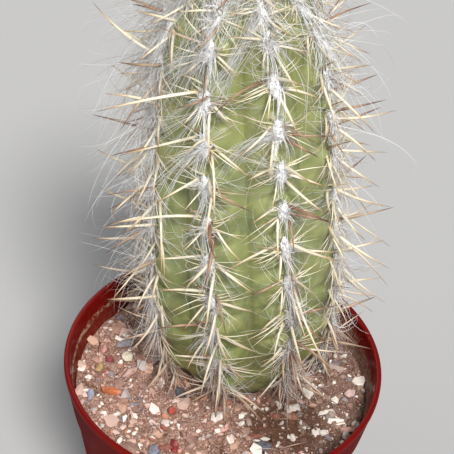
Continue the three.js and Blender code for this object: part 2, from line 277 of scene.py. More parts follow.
def fill_ramp(ramp, stops):
    """Gives a colour ramp its stops, each a place from 0 to 1 and a web code."""
    while len(ramp.elements) < len(stops):
        ramp.elements.new(1)
    for element, (place, code) in zip(ramp.elements, stops):
        element.position = place
        element.color = (*paint(code), 1)


def paint(code):
    """A colour written as a web code, as the linear numbers that Blender works in."""
    parts = [int(code[i : i + 2], 16) / 255 for i in (0, 2, 4)]
    return tuple(((c + 0.055) / 1.055) ** 2.4 if c > 0.04045 else c / 12.92 for c in parts)


print("a mid grey is", round(paint("808080")[0], 3), "in linear light")

# %% [markdown]
# ## From a mesh to a piece
# Every part of the plant ends in the same last step: it gets its finish, becomes a piece and is told to ride
# on the frame's one body. One function does that, so that no piece can miss a step. Before that, its mesh
# is shrunk from millimetres to metres, and a mesh made by mesh_from also has its faces turned outwards.

# %% Turn a mesh into a piece


def add_piece(name, mesh, finish, replaced=()):
    mesh.materials.append(finish.material)
    piece = add_object(name, mesh)
    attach(piece, "root")
    if replaced:
        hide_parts(*replaced)
    triangles = sum(len(face.vertices) - 2 for face in mesh.polygons)
    print(f"{name}: {triangles} triangles")


def mesh_from(bm, name, crease=None):
    """A mesh in metres, smooth but for edges sharper than crease degrees."""
    bmesh.ops.recalc_face_normals(bm, faces=bm.faces)
    bmesh.ops.scale(bm, vec=(MM, MM, MM), verts=bm.verts)
    mesh = bpy.data.meshes.new(name)
    bm.to_mesh(mesh)
    bm.free()
    mesh.shade_smooth()
    if crease:
        mesh.set_sharp_from_angle(angle=math.radians(crease))
    return mesh


def lathe(profile, steps):
    """Spins a profile of (radius, height) pairs round the Z axis into a closed skin."""
    bm = bmesh.new()
    points = [bm.verts.new((radius, 0, height)) for radius, height in profile]
    edges = [bm.edges.new(pair) for pair in zip(points, points[1:])]
    turn = {"cent": (0, 0, 0), "axis": (0, 0, 1), "angle": 2 * math.pi}
    bmesh.ops.spin(bm, geom=points + edges, steps=steps, use_merge=True, **turn)
    bmesh.ops.remove_doubles(bm, verts=bm.verts, dist=0.001)
    return bm


def bevel(bm, edges, offset, segments):
    how = {"affect": "EDGES", "profile": 0.5, "material": -1, "clamp_overlap": True}
    bmesh.ops.bevel(bm, geom=edges, offset=offset, segments=segments, **how)


def final_mesh(item):
    """The mesh of an object with its modifiers, or of a curve with its section."""
    depsgraph = bpy.context.evaluated_depsgraph_get()
    return bpy.data.meshes.new_from_object(item.evaluated_get(depsgraph), depsgraph=depsgraph)


# %% [markdown]
# ## Pot
# The real pot is moulded in one shot of glossy red plastic: a thin tapering wall, a taller collar and a
# thin round lip, with holes in its floor for water. A lathe fits anything round, so its profile is spun
# and the hard corners are bevelled. The holes are cut with a Boolean, which is safe on a closed body.

# %% Shape the pot
POT_STEPS = 144
DRAIN_HOLES = 6
DRAIN_RADIUS = 4.5
DRAIN_CIRCLE = 33
CORNER_ROUND = 0.4
LIP_ROUND = 0.85
BEVEL_ANGLE = math.radians(20)
SHARP_ANGLE = math.radians(34)


def inner_radius(height):
    share = (height - FLOOR_THICKNESS) / (POT_HEIGHT - FLOOR_THICKNESS)
    return FLOOR_RADIUS + (MOUTH_RADIUS - FLOOR_RADIUS) * share


def pot_profile():
    collar_foot = POT_HEIGHT - COLLAR_DEPTH
    lip_foot = POT_HEIGHT - LIP_DEPTH
    return [
        (0, 0),
        (inner_radius(0) + WALL - FOOT_CHAMFER, 0),
        (inner_radius(FOOT_CHAMFER) + WALL, FOOT_CHAMFER),
        (inner_radius(collar_foot) + WALL, collar_foot),
        (inner_radius(collar_foot) + WALL + COLLAR_STEP, collar_foot + COLLAR_STEP),
        (inner_radius(lip_foot) + WALL + COLLAR_STEP, lip_foot),
        (LIP_RADIUS, lip_foot + COLLAR_STEP),
        (LIP_RADIUS, POT_HEIGHT),
        (MOUTH_RADIUS, POT_HEIGHT),
        (FLOOR_RADIUS, FLOOR_THICKNESS),
        (0, FLOOR_THICKNESS),
    ]


def bevel_rings(bm, offset, above, segments):
    """Rounds the ring edges of the lip's top, if above is True, or else all the other sharp ones."""
    sharp = [e for e in bm.edges if e.is_manifold and e.calc_face_angle() > BEVEL_ANGLE]
    bevel(bm, [e for e in sharp if (e.verts[0].co.z > POT_HEIGHT - 1) == above], offset, segments)


def drain_drills():
    bm = bmesh.new()
    for i in range(DRAIN_HOLES):
        angle = 2 * math.pi * i / DRAIN_HOLES
        place = (DRAIN_CIRCLE * math.cos(angle), DRAIN_CIRCLE * math.sin(angle), 0)
        size = {"radius1": DRAIN_RADIUS, "radius2": DRAIN_RADIUS, "depth": 4 * FLOOR_THICKNESS}
        bmesh.ops.create_cone(bm, cap_ends=True, segments=32, matrix=Matrix.Translation(place), **size)
    return mesh_from(bm, "drain_drills")


def cut(mesh, cutter_mesh):
    """The mesh with the cutter taken away from it."""
    holder = add_object("cut_holder", mesh)
    cutter = add_object("cutter", cutter_mesh)
    boolean = holder.modifiers.new("cut", "BOOLEAN")
    boolean.operation = "DIFFERENCE"
    boolean.object = cutter
    result = final_mesh(holder)
    for item in (holder, cutter):
        bpy.data.objects.remove(item)
    return result


pot_bm = lathe(pot_profile(), POT_STEPS)
bevel_rings(pot_bm, LIP_ROUND, True, 4)
bevel_rings(pot_bm, CORNER_ROUND, False, 2)
pot_mesh = cut(mesh_from(pot_bm, "pot_shell"), drain_drills())
pot_mesh.set_sharp_from_angle(angle=SHARP_ANGLE)
print("pot faces", len(pot_mesh.polygons))

# %% [markdown]
# ## Red plastic
# Moulded plastic is even in colour but never even in gloss: it has faint scuffs outside, and inside each
# watering leaves splashed soil and a tan line of lime. The dirt is placed by height and by radius, so
# that it stays on the inner wall, just above the soil, and noise breaks its edges. At the right there is
# more of it, and it is grey mud. Low on the right of the inner wall the red is also darkened: painted shade.

# %% Finish of the pot
RED = paint("720f0b")
DEEP_RED = paint("5c0b08")
DIRT = paint("6b4030")
PAINTED_WALL_SHADE = paint("2a120d")
GREY_DIRT = paint("a88c7b")
LIME = paint("b09a7c")
LIME_LINE = SOIL_LEVEL + 10.5


def pot_finish():
    red = Finish("red_plastic", Coat_Roughness=0.12, Coat_IOR=1.4, IOR=1.45, Specular_IOR_Level=0.0)
    height = red.axis(2)
    x, y = red.axis(0), red.axis(1)
    reach = (x * x + y * y) ** 0.5
    slope = (MOUTH_RADIUS - FLOOR_RADIUS) / (POT_HEIGHT - FLOOR_THICKNESS)
    wall_middle = (height - FLOOR_THICKNESS) * slope + (FLOOR_RADIUS + WALL / 2)
    inside = 1 - (reach - wall_middle).between(-0.4, 0.2)
    splash = red.noise(3.2, 5, 0.65)
    streaks = red.noise(7, 3, 0.6)
    low = 1 - (height + streaks * 16).between(SOIL_LEVEL + 7, SOIL_LEVEL + 21)
    mud = red.noise(1.4, 6, 0.7).between(0.4, 0.62)
    watered = 1 - x.between(-40, 30) * 0.6
    right = x.between(0, 60)
    splashed = watered * (low * (mud * 0.75 + 0.12) + splash.between(0.52, 0.72) * 0.25)
    dirt = inside * (splashed + right * low * (mud * 0.35 + 0.3))
    from_line = height + streaks * 5 - LIME_LINE
    line = 1 - (from_line * from_line).between(0.1, 3.5)
    lime = inside * line * watered * splash.between(0.4, 0.6)
    base = red.mix(red.noise(26, 2), DEEP_RED, RED)
    mud_colour = red.mix(x.between(-20, 45), DIRT, GREY_DIRT)
    # Painted shade: the low part of the inner wall at the right is darkened as if it lay in shadow.
    right_wall_shade = inside * right * low * 0.6
    base = red.mix(dirt * 0.8, red.mix(right_wall_shade, base, PAINTED_WALL_SHADE), mud_colour)
    red.set("Base Color", red.mix(lime * 0.75, base, LIME))
    scuffs = red.noise(1.1, 6, 0.7)
    red.set("Roughness", scuffs * 0.16 + 0.34 + dirt * 0.4)
    rim = (height - POT_HEIGHT + LIP_DEPTH).between(0, 2)
    red.set("Coat Weight", (inside + rim) * 0.2 + 0.08 - dirt * 0.2)
    red.bump(scuffs * 0.3 + dirt * splash, 0.12, 0.6)
    return red


add_piece("pot_body", pot_mesh, pot_finish(), ["pot"])

# %% [markdown]
# ## The stem's shape
# A column cactus is a rounded tube with ribs, and each rib is a chain of low bumps, the tubercles, with a
# woolly areole on each. It could be sculpted, but a formula keeps every rib alike and lets wool and spines
# ask where the skin is. These functions give the skin at an angle round the stem and a row up it. Whole
# rows carry the areoles, and a rib's rows lie a little higher or lower than its neighbour's.

# %% Radius, twist and rows


def crest_radius(s):
    """How far a rib's crest is from the axis at height s above the soil."""
    above = np.maximum(0, s - BELLY_HEIGHT)
    below = np.maximum(0, BELLY_HEIGHT - s) / BELLY_HEIGHT
    crown = np.sqrt(np.maximum(0, 1 - (np.maximum(s, 0) / STEM_HEIGHT) ** CROWN_POWER))
    base = np.maximum(0, 1 - BASE_NARROWING * below**BASE_POWER)
    return np.maximum(0, BELLY_RADIUS - STEM_TAPER * above) * crown * base


def twist(s):
    return np.radians(RIB_TURN + RIB_TWIST * (s - STEM_HEIGHT / 2))


def rib_angle(rib):
    return math.radians((rib + 0.5) * 360 / RIBS)


def rib_rows(offset):
    heights = [0]
    s = FIRST_AREOLE + offset
    while len(heights) <= AREOLES_PER_RIB:
        heights.append(s)
        young = min(max((s - YOUNG_HEIGHT) / (STEM_HEIGHT - YOUNG_HEIGHT), 0), 1)
        s += AREOLE_SPACING + (CLOSEST_AREOLES - AREOLE_SPACING) * young
    return heights + [STEM_HEIGHT, STEM_HEIGHT]


ROWS = np.array([rib_rows(offset) for offset in RIB_OFFSETS], float)
TOP_ROW = AREOLES_PER_RIB + 1


def row_height(rib, t):
    below = np.floor(t).astype(int)
    rib = np.mod(rib, RIBS).astype(int)
    return ROWS[rib, below] * (1 - t + below) + ROWS[rib, below + 1] * (t - below)


print("areole heights on the front rib:", [round(h) for h in ROWS[7][1:-2]])

# %% Points on the skin


def axis_point(angle, s, radius):
    """A point at an angle, height and radius in the stem's own frame. Angle 0 faces the front."""
    turned = angle + twist(s)
    return np.stack(
        [STEM_LEAN * s + radius * np.sin(turned), -radius * np.cos(turned), s + 0 * turned], axis=-1
    )


def rib_share(angle):
    """Which rib lies to the left, how far it is to the next one, and 0 on a crest to 1 in a furrow."""
    slot = angle / (2 * math.pi / RIBS) - 0.5
    left = np.floor(slot)
    between = slot - left
    return left, between, 1 - np.abs(2 * between - 1)


def smooth(value, low, high):
    share = np.clip((value - low) / (high - low), 0, 1)
    return share * share * (3 - 2 * share)


def skin_point(angle, t):
    """The skin at an angle on row t, with furrows and tubercles."""
    angle, t = np.asarray(angle, float), np.asarray(t, float)
    left, between, across = rib_share(angle)
    s = row_height(left, t) * (1 - between) + row_height(left + 1, t) * between
    furrow = RIB_DEPTH * smooth(s, 0, RIB_FADE_HEIGHT) * across**2
    bulge = np.where(t > 0.5, TUBERCLE_RISE * ((1 + np.cos(2 * math.pi * t)) / 2) ** 2, 0)
    young = np.minimum(1, (STEM_HEIGHT - s) / TIP_FADE)
    return axis_point(angle, s, crest_radius(s) * (1 - furrow) + bulge * (1 - across**2) ** 2 * young)


def areole_seat(rib, row):
    return skin_point(rib_angle(rib), float(row))


print("first areole:", np.round(areole_seat(7, 1) + STEM_FOOT, 1))

# %% [markdown]
# ## Skin
# The real skin is one smooth, waxy sheet. It is pinched above each areole, where one tubercle ends and the
# next begins, and it creases along the furrows. One vertical line is spun into a tube, and each of its
# points is then moved to the skin, so the mesh is closed and its grid follows the ribs.

# %% Shape the skin
COLUMNS_PER_RIB = 24
ROWS_BETWEEN = 16
FOOT_ROWS = (-13, -9.5, -6.5, -3)
NOTCH_ROW = 0.36
NOTCH_DEPTH = 1.5
NOTCH_WIDTH = 0.075
CREASE_DEPTH = 0.25
CREASE_WIDTH = 0.07
UNEVEN = 0.45


def notch(t, across):
    """The pinch above each areole: deepest on the crest, and arched down to the sides."""
    row = t % 1 - NOTCH_ROW + 0.1 * across
    pinch = NOTCH_DEPTH * np.exp(-((row / NOTCH_WIDTH) ** 2)) * (1 - smooth(across, 0.35, 0.95))
    return np.where((t >= 1) & (t < TOP_ROW - 1.5), pinch, 0)


def ripples(points, size):
    """Smooth noise at each point, in patches of about that size."""
    return np.array([noise.noise(Vector(point) / size) for point in points])


def fine_skin(angle, t):
    point = skin_point(angle, np.clip(t, 0, TOP_ROW - 0.001))
    across = rib_share(angle)[2]
    s = point[:, 2]
    out = point - axis_point(angle, s, 0 * s)
    reach = np.maximum(np.hypot(out[:, 0], out[:, 1]), 0.01)
    crease = CREASE_DEPTH * np.exp(-(((1 - across) / CREASE_WIDTH) ** 2)) * smooth(s, 0, 40)
    moved = UNEVEN * (ripples(point, 11) + 0.5 * ripples(point, 4)) - crease - notch(t, across)
    return point + out * (moved * np.minimum(1, reach / 20) / reach)[:, None]


def lathe_points(bm):
    """The angle, the row and whether it is on the axis, for each point of a lathe that isn't shaped yet."""
    places = np.array([vert.co for vert in bm.verts])
    x, y, row = places.T
    return np.arctan2(x, -y), row, (np.hypot(x, y) < 0.5)[:, None]


def move_points(bm, places):
    for vert, place in zip(bm.verts, places):
        vert.co = place


def stem_skin():
    rows = [i / ROWS_BETWEEN for i in range(TOP_ROW * ROWS_BETWEEN)]
    profile = [(0, -FOOT_DEPTH), *((1, t) for t in (*FOOT_ROWS, *rows)), (0, TOP_ROW)]
    bm = lathe(profile, RIBS * COLUMNS_PER_RIB)
    angle, t, on_axis = lathe_points(bm)
    foot = axis_point(angle, t, crest_radius(t))
    poles = axis_point(angle, np.where(t < 0, t, STEM_HEIGHT), 0 * t)
    skin = np.where((t < 0)[:, None], foot, fine_skin(angle, t))
    move_points(bm, np.where(on_axis, poles, skin) + STEM_FOOT)
    return mesh_from(bm, "stem_skin")


skin_mesh = stem_skin()
print("skin points", len(skin_mesh.vertices))

# %% [markdown]
# ## Waxy green
# The skin is olive green, a little paler half-way up and yellower near the crown, with a thin grey bloom
# of wax that shows as pale patches. Old skin near the soil is corky and stained. All of that follows
# height and noise, and the bloom also makes the skin duller where it is thick.

# %% Finish of the skin
YOUNG_GREEN = paint("8c9158")
OLIVE = paint("868c50")
SHADE_GREEN = paint("626c3f")
BRIGHT_GREEN = paint("a4aa62")
PALE_GREEN = paint("b2b886")
BLOOM = paint("9ca48c")
CORK = paint("82724c")


def skin_finish():
    skin = Finish("waxy_skin", IOR=1.42, Coat_Roughness=0.36)
    rise = (skin.axis(2) - SOIL_LEVEL) / STEM_HEIGHT
    patches = skin.noise(17, 3)
    speckle = skin.noise(1.3, 4, 0.6)
    green = skin.mix(patches.between(0.32, 0.68), SHADE_GREEN, OLIVE)
    green = skin.mix((rise + patches * 0.4).between(0.55, 1.15), green, YOUNG_GREEN)
    green = skin.mix(speckle.between(0.5, 0.8) * 0.3, green, YOUNG_GREEN)
    blotches = skin.noise(6.5, 4, 0.6)
    green = skin.mix(blotches.between(0.5, 0.7) * 0.42, green, BRIGHT_GREEN)
    middle = rise.between(0.15, 0.4) * (1 - rise.between(0.6, 0.85))
    green = skin.mix(middle * 0.15, green, PALE_GREEN)
    bloom = skin.noise(9, 5, 0.6).between(0.5, 0.75)
    green = skin.mix(bloom * 0.38, green, BLOOM)
    scars = skin.noise(6, 6, 0.7)
    corky = scars.between(0.47, 0.62) * (1 - (rise + patches * 0.2).between(0.12, 0.5))
    skin.set("Base Color", skin.mix(corky * 0.7, green, CORK))
    skin.set("Roughness", 0.36 + bloom * 0.16 + corky * 0.3)
    skin.set("Coat Weight", 0.36 - corky * 0.34)
    skin.bump(speckle * 0.5 + scars * 0.5, 0.18, 0.5)
    return skin


add_piece("stem_skin", skin_mesh, skin_finish(), ["stem"])

# %% [markdown]
# ## Soil
# The fill is a coarse mineral mix. Its level is a little lower at the back, with low humps, and it closes
# round the stem's foot. Its body is a lathe again, but its top rings are stretched from the pot's wall to
# the stem, which isn't in the middle, and then they follow the foot down, so the stem stands in a hole.

# %% Shape the soil
SOIL_STEPS = 240
SOIL_RINGS = 64
HOLE_RINGS = 8
SOIL_RELIEF = 0.9
SOIL_FLOOR = FLOOR_THICKNESS + GAP
SOIL_RADIUS = inner_radius(SOIL_LEVEL)
FOOT_RADIUS = float(crest_radius(0.0))
CHIP_DIP = 0.5


def soil_top(x, y):
    waves = 0.8 * np.sin(0.13 * x + 1.3) * np.cos(0.11 * y) + 0.5 * np.sin(0.31 * x + 0.22 * y)
    near = np.hypot(x - STEM_X, y - STEM_Y) - FOOT_RADIUS
    return SOIL_LEVEL - SOIL_FALL * y + waves * np.clip(near / 12, 0, 1)


def soil_relief(x, y):
    flat = np.stack([x, y, 0 * x], axis=-1)
    waves = SOIL_RELIEF * (ripples(flat, 6) + 0.6 * ripples(flat + 40, 2.4))
    chips = chip_share(x, y)
    return waves * (1 - chips) - CHIP_DIP * chips


def chip_outline(name):
    """A chip's middle, and the matrix that turns its outline, seen from above, into a circle."""
    flat = np.array([vert.co[:2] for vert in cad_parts[name].data.vertices]) / MM
    off = flat - flat.mean(axis=0)
    return flat.mean(axis=0), np.linalg.inv(3 * off.T @ off / len(off))


CHIP_OUTLINES = [chip_outline(name) for name in CHIPS]


def chip_share(x, y):
    """1 on a stone chip, falling to 0 at 1.5 times its size."""
    share = 0 * np.asarray(x, float)
    for middle, matrix in CHIP_OUTLINES:
        off = np.stack([x, y], axis=-1) - middle
        reach = np.sqrt(((off @ matrix) * off).sum(axis=-1))
        share = np.maximum(share, 1 - smooth(reach, 0.9, 1.5))
    return share


def soil_points(angle, row):
    """Row -1 is the floor's edge, 0 to 1 is the top from wall to stem, and above 1 the foot's hole."""
    turn = np.stack([np.sin(angle), -np.cos(angle)], axis=-1)
    down = np.maximum(0, row - 1) * FOOT_DEPTH
    middle = np.stack([STEM_X - STEM_LEAN * down, STEM_Y + 0 * down], axis=-1)
    hole = middle + turn * (crest_radius(-down) + 2 * GAP)[:, None]
    share = np.clip(row, 0, 1)[:, None]
    flat = turn * (SOIL_RADIUS - GAP) * (1 - share) + hole * share
    flat = np.where((row < 0)[:, None], turn * (inner_radius(SOIL_FLOOR) - GAP), flat)
    x, y = flat.T
    edge = np.clip(np.minimum(row, 1 - row) * 12, 0, 1)
    top = soil_top(x, y) + soil_relief(x, y) * edge
    height = np.where(row < 0, SOIL_FLOOR, np.where(row > 1, SOIL_LEVEL - down, top))
    return np.column_stack([flat, height])


def soil_body():
    top = [i / SOIL_RINGS for i in range(SOIL_RINGS + 1)]
    hole = [1 + (i + 1) / HOLE_RINGS for i in range(HOLE_RINGS)]
    bm = lathe([(0, -1), (1, -1), *((1, row) for row in (*top, *hole)), (0, 2)], SOIL_STEPS)
    angle, row, on_axis = lathe_points(bm)
    under = np.array((0, 0, SOIL_FLOOR))
    deepest = STEM_FOOT - (STEM_LEAN * FOOT_DEPTH, 0, FOOT_DEPTH)
    poles = np.where((row < 0)[:, None], under, deepest)
    move_points(bm, np.where(on_axis, poles, soil_points(angle, row)))
    return mesh_from(bm, "soil_body", 50)


soil_mesh = soil_body()
print("soil points", len(soil_mesh.vertices))

# %% [markdown]
# ## Earth colours
# Between the stones lies fine pinkish-brown dust. It is greyer and darker to the right, and darkest in a
# damp place in front of the stem. A Voronoi texture gives it crumbs, each with its own tint, and the gaps
# between the crumbs are darkened as painted shade.

# %% Finish of the soil
DUST = paint("d5ad9c")
CRUMB = paint("a47d6c")
DAMP_AND_GAP_SHADE = paint("52331f")
GREY_EARTH = paint("55453b")
DAMP_SPOT = (31, -25)
DAMP_REACH = 22


def damp_share(finish, patches):
    """1 in the middle of the damp soil and 0 away from it, with a ragged edge."""
    x, y = finish.axis(0) - DAMP_SPOT[0], finish.axis(1) - DAMP_SPOT[1]
    reach = (x * x + y * y) ** 0.5 + patches * 24 - 12
    return 1 - reach.between(DAMP_REACH * 0.55, DAMP_REACH * 1.25)


def grey_share(finish):
    """How much greyer and darker the soil is, from none at the left to most at the right."""
    return finish.axis(0).between(12, 50) * 0.45


def soil_finish():
    soil = Finish("gritty_soil", IOR=1.4)
    crumbs = {"Scale": 1 / (0.8 * MM), "Vector": soil.place()}
    tint = soil.node("ShaderNodeTexVoronoi", sockets=crumbs, output=1)
    gap = soil.node("ShaderNodeTexVoronoi", sockets=crumbs)
    tint = soil.node("ShaderNodeSeparateColor", sockets={0: tint})
    patches = soil.noise(12, 4)
    damp = damp_share(soil, patches)
    earth = soil.mix(tint, CRUMB, DUST)
    earth = soil.mix(patches.between(0.45, 0.7) * 0.5, earth, CRUMB)
    earth = soil.mix(grey_share(soil), earth, GREY_EARTH)
    earth = soil.mix(damp * 0.9, earth, DAMP_AND_GAP_SHADE)
    # Painted shade: the gaps between the crumbs are darkened with the damp colour.
    soil.set("Base Color", soil.mix(gap.between(0.25, 0.6) * 0.6, earth, DAMP_AND_GAP_SHADE))
    soil.set("Roughness", 0.95 - damp * 0.12)
    soil.bump((1 - gap) * 0.7 + soil.noise(0.5, 5, 0.7) * 0.4, 0.7)
    return soil


add_piece("soil_fill", soil_mesh, soil_finish(), ["soil"])

# %% [markdown]
# ## Grit
# Thousands of small stones lie loose on the soil: pinkish and brown lava, grey gravel, a few brick-red and
# orange ones, and white beads of perlite, with more white at the right. The largest are flakes that lie
# flat. Each is an icosphere with only 20 faces, squashed and knocked out of shape by seeded draws, because
# what is repeated this often has to stay light. A number kept on its points, the tone, picks its colour
# later.

# %% Scatter the grit
GRAINS = 5600
GRAINS_PER_BATCH = 80
SMALLEST_GRAIN = 0.38
LARGEST_GRAIN = 2.4
SMALL_BIAS = 5.5
GRAIN_LIFT = (-0.1, 0.6)
GRAIN_FLATNESS = (0.35, 0.8)
FLAKES = 150
FLAKE_SIZES = (2.6, 5.0)
FLAKE_LIFT = (0.1, 0.9)
FLAKE_TILT = (-0.4, 0.4)
FLAKE_FLATNESS = (0.28, 0.42)
WALL_MARGIN = 1.4
STEM_MARGIN = 1
CHIP_COVER = 0.75
PALE_SIDE = 15
PALE_FROM = 0.2
PALE_GRAINS_TO = 0.27
PALE_FLAKES_TO = 0.46
PALE_TONE = 0.93


def grain_spots(count, draw):
    """Places on the soil, clear of the stem, the wall and the stone chips."""
    spots = []
    while len(spots) < count:
        reach = (SOIL_RADIUS - WALL_MARGIN) * math.sqrt(draw.random())
        angle = draw.uniform(0, 2 * math.pi)
        x, y = reach * math.cos(angle), reach * math.sin(angle)
        near_stem = math.hypot(x - STEM_X, y - STEM_Y) < FOOT_RADIUS + STEM_MARGIN
        if not near_stem and chip_share(x, y) < CHIP_COVER:
            spots.append((x, y))
    return spots


def set_attribute(mesh, name, values):
    mesh.attributes.new(name, "FLOAT", "POINT").data.foreach_set("value", values)


def add_grain(bm, x, y, flake, draw):
    """One grain, or one flake that lies flat, knocked out of shape. Returns its number of points."""
    size = SMALLEST_GRAIN + (LARGEST_GRAIN - SMALLEST_GRAIN) * draw.random() ** SMALL_BIAS
    lift = size * draw.uniform(*GRAIN_LIFT)
    turn = Matrix.Rotation(draw.uniform(0, 6.3), 4, Vector((draw.random(), draw.random(), 0.5)))
    flat = draw.uniform(*GRAIN_FLATNESS)
    if flake:
        size = draw.uniform(*FLAKE_SIZES)
        lift = draw.uniform(*FLAKE_LIFT)
        tilt = Matrix.Rotation(draw.uniform(*FLAKE_TILT), 4, Vector((draw.random(), draw.random(), 0)))
        turn = tilt @ Matrix.Rotation(draw.uniform(0, 6.3), 4, "Z")
        flat = draw.uniform(*FLAKE_FLATNESS)
    shape = Matrix.Diagonal((size, size * draw.uniform(0.4, 0.9), size * flat, 1))
    middle = Vector((x, y, float(soil_top(x, y)) + lift))
    place = Matrix.Translation(middle) @ turn @ shape
    made = bmesh.ops.create_icosphere(bm, subdivisions=1, radius=1, matrix=place)
    for vert in made["verts"]:
        vert.co = middle + (vert.co - middle) * draw.uniform(0.5 if flake else 0.62, 1.25)
    return len(made["verts"])


def grit():
    """The grains are made in batches, because an operator slows down as its mesh grows."""
    draw = random.Random(5)
    whole = bmesh.new()
    batch_mesh = bpy.data.meshes.new("batch")
    tones = []
    spots = grain_spots(GRAINS, draw)
    for first in range(0, GRAINS, GRAINS_PER_BATCH):
        batch = bmesh.new()
        for i, (x, y) in enumerate(spots[first : first + GRAINS_PER_BATCH], first):
            tone = draw.random()
            pale_to = PALE_FLAKES_TO if i < FLAKES else PALE_GRAINS_TO
            if x > PALE_SIDE and PALE_FROM < tone < pale_to:
                tone = PALE_TONE
            tones += [tone] * add_grain(batch, x, y, i < FLAKES, draw)
        batch.to_mesh(batch_mesh)
        batch.free()
        whole.from_mesh(batch_mesh)
    mesh = mesh_from(whole, "grit", 15)
    set_attribute(mesh, "tone", tones)
    return mesh


grit_mesh = grit()
print("grains:", GRAINS, "of them flakes:", FLAKES)

# %% Finish of the grit
GRIT_TONES = (
    (0.0, "a5806f"), (0.2, "caa99a"), (0.38, "8d6e62"), (0.48, "b9aeaa"), (0.56, "dac2b6"), (0.69, "cfa68f"),
    (0.76, "9a5a4a"), (0.8, "bf8161"), (0.83, "807d85"), (0.86, "d3a294"), (0.9, "f3ebe0"),
)


def grit_finish():
    grains = Finish("loose_grit", IOR=1.45)
    tone = grains.attribute("tone")
    colour = grains.ramp(tone, GRIT_TONES, "CONSTANT")
    dusty = grains.noise(1.6, 5, 0.65)
    colour = grains.mix(dusty.between(0.4, 0.75) * 0.35, colour, DUST)
    colour = grains.mix(grey_share(grains) * (1 - tone.between(0.8, 0.86)), colour, GREY_EARTH)
    damp = damp_share(grains, grains.noise(12, 4))
    grains.set("Base Color", grains.mix(damp * (0.95 - tone * 0.55), colour, DAMP_AND_GAP_SHADE))
    grains.set("Roughness", 0.72 + dusty * 0.25)
    grains.bump(grains.noise(0.4, 5, 0.7), 0.25)
    return grains


add_piece("grit", grit_mesh, grit_finish())

# %% [markdown]
# ## Stone chips
# Nineteen larger chips can be told apart in the soil. Each is a broken stone: flat faces with worn edges.
# A frame's chip has the right place and size but only 20 faces, so a copy of it is welded, its edges are
# bevelled, and its faces are split and roughened. The frame's own mesh is left alone.

# %% Shape the chips
CHIP_WEAR = 0.1
CHIP_ROUGH = 0.2


def chip_mesh(name):
    bm = bmesh.new()
    bm.from_mesh(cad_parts[name].data)
    bmesh.ops.scale(bm, vec=(1 / MM,) * 3, verts=bm.verts)
    bmesh.ops.remove_doubles(bm, verts=bm.verts, dist=0.01)
    bevel(bm, bm.edges[:], CHIP_WEAR, 2)
    bmesh.ops.triangulate(bm, faces=bm.faces)
    bmesh.ops.subdivide_edges(bm, edges=bm.edges[:], cuts=1, use_grid_fill=True)
    bm.normal_update()
    for vert in bm.verts:
        rough = noise.noise(vert.co / 1.1) + 0.6 * noise.noise(vert.co / 0.45)
        vert.co += vert.normal * CHIP_ROUGH * rough
    return mesh_from(bm, name, 25)


print("chips to shape:", ", ".join(CHIPS[:3]), "and", len(CHIPS) - 3, "more")

# %% Finish of the chips
STONES = {
    "stone_orange": (
        ("orange", "c9764a", "a3532f"),
        ("brick", "b3543f", "8c3a2a"),
        ("tan", "b9996b", "94774d"),
        ("back_tan", "b39a78", "8f7858"),
    ),
    "stone_red": (("red", "9b3a38", "7a2626"), ("dark_red", "94454a", "6e2f33")),
    "stone_pink": (
        ("pink", "c79690", "a97069"),
        ("long_pink", "c9a79c", "a9857a"),
        ("pale_pink", "c7aca6", "a98b84"),
    ),
    "stone_pale": (
        ("cream", "e0d9c4", "c2b59a"),
        ("white", "d9cdc4", "b8a99f"),
        ("bead", "eae6dc", "cfc8ba"),
        ("right_white", "ddd5ca", "bdb2a5"),
        ("back_cream", "dcd4bf", "bdb196"),
    ),
    "stone_grey": (
        ("blue_grey", "a9adbd", "8b8fa3"),
        ("grey_slab", "9c969a", "7b767b"),
        ("grey_blue", "8e8f9c", "70717f"),
    ),
    "stone_dark": (("charcoal", "5b5a60", "3f3e44"), ("dark_grey", "5f5d66", "45434b")),
}


def stone_finish(name, light, dark):
    stone = Finish(name, IOR=1.5)
    veins = stone.noise(2.4, 6, 0.65)
    specks = stone.noise(0.6, 4, 0.6)
    colour = stone.mix(veins.between(0.38, 0.62), dark, light)
    colour = stone.mix(specks.between(0.58, 0.7) * 0.5, colour, dark)
    dust = stone.noise(3.5, 4).between(0.5, 0.75)
    stone.set("Base Color", stone.mix(dust * 0.35, colour, DUST))
    stone.set("Roughness", 0.62 + specks * 0.3)
    stone.bump(veins * 0.5 + specks * 0.5, 0.22)
    return stone


for slot, stones in STONES.items():
    for kind, light, dark in stones:
        chip, stone = f"chip_{kind}", f"stone_{kind}"
        add_piece(stone, chip_mesh(chip), stone_finish(stone, paint(light), paint(dark)), [chip])

# %% [markdown]
# ## Strands
# Spines, wool and hair are all strands: thin, tapering and slightly bent, and there are thousands of
# them. A curve object can hold them all, with a small polygon as its section and a radius at each point,
# and it turns into one mesh in a moment. Two numbers are kept on the mesh's points for the finishes:
# how far along its strand a point is, and the strand's own tone.

# %% Strands to a mesh
WELD_REACH = 0.012
TIP_RADIUS = 0.004


def section(sides):
    """A small closed polygon, the cross-section of a strand."""
    outline = bpy.data.curves.new("section", "CURVE")
    spline = outline.splines.new("POLY")
    spline.points.add(sides - 1)
    spline.use_cyclic_u = True
    for i, point in enumerate(spline.points):
        angle = 2 * math.pi * i / sides
        point.co = (math.cos(angle), math.sin(angle), 0, 1)
    return add_object("section", outline)


def strand_attributes(mesh, count, points, sides, tones):
    """A strand's two caps come first, last strand first, and then each strand's rings in order."""
    along = np.linspace(0, 1, points)
    caps = np.tile(np.repeat((1.0, 0.0), sides), count)
    set_attribute(mesh, "along", np.concatenate([caps, np.tile(np.repeat(along, sides), count)]))
    tones = np.asarray(tones, float)
    cap_tones = np.repeat(tones[::-1], 2 * sides)
    set_attribute(mesh, "tone", np.concatenate([cap_tones, np.repeat(tones, points * sides)]))


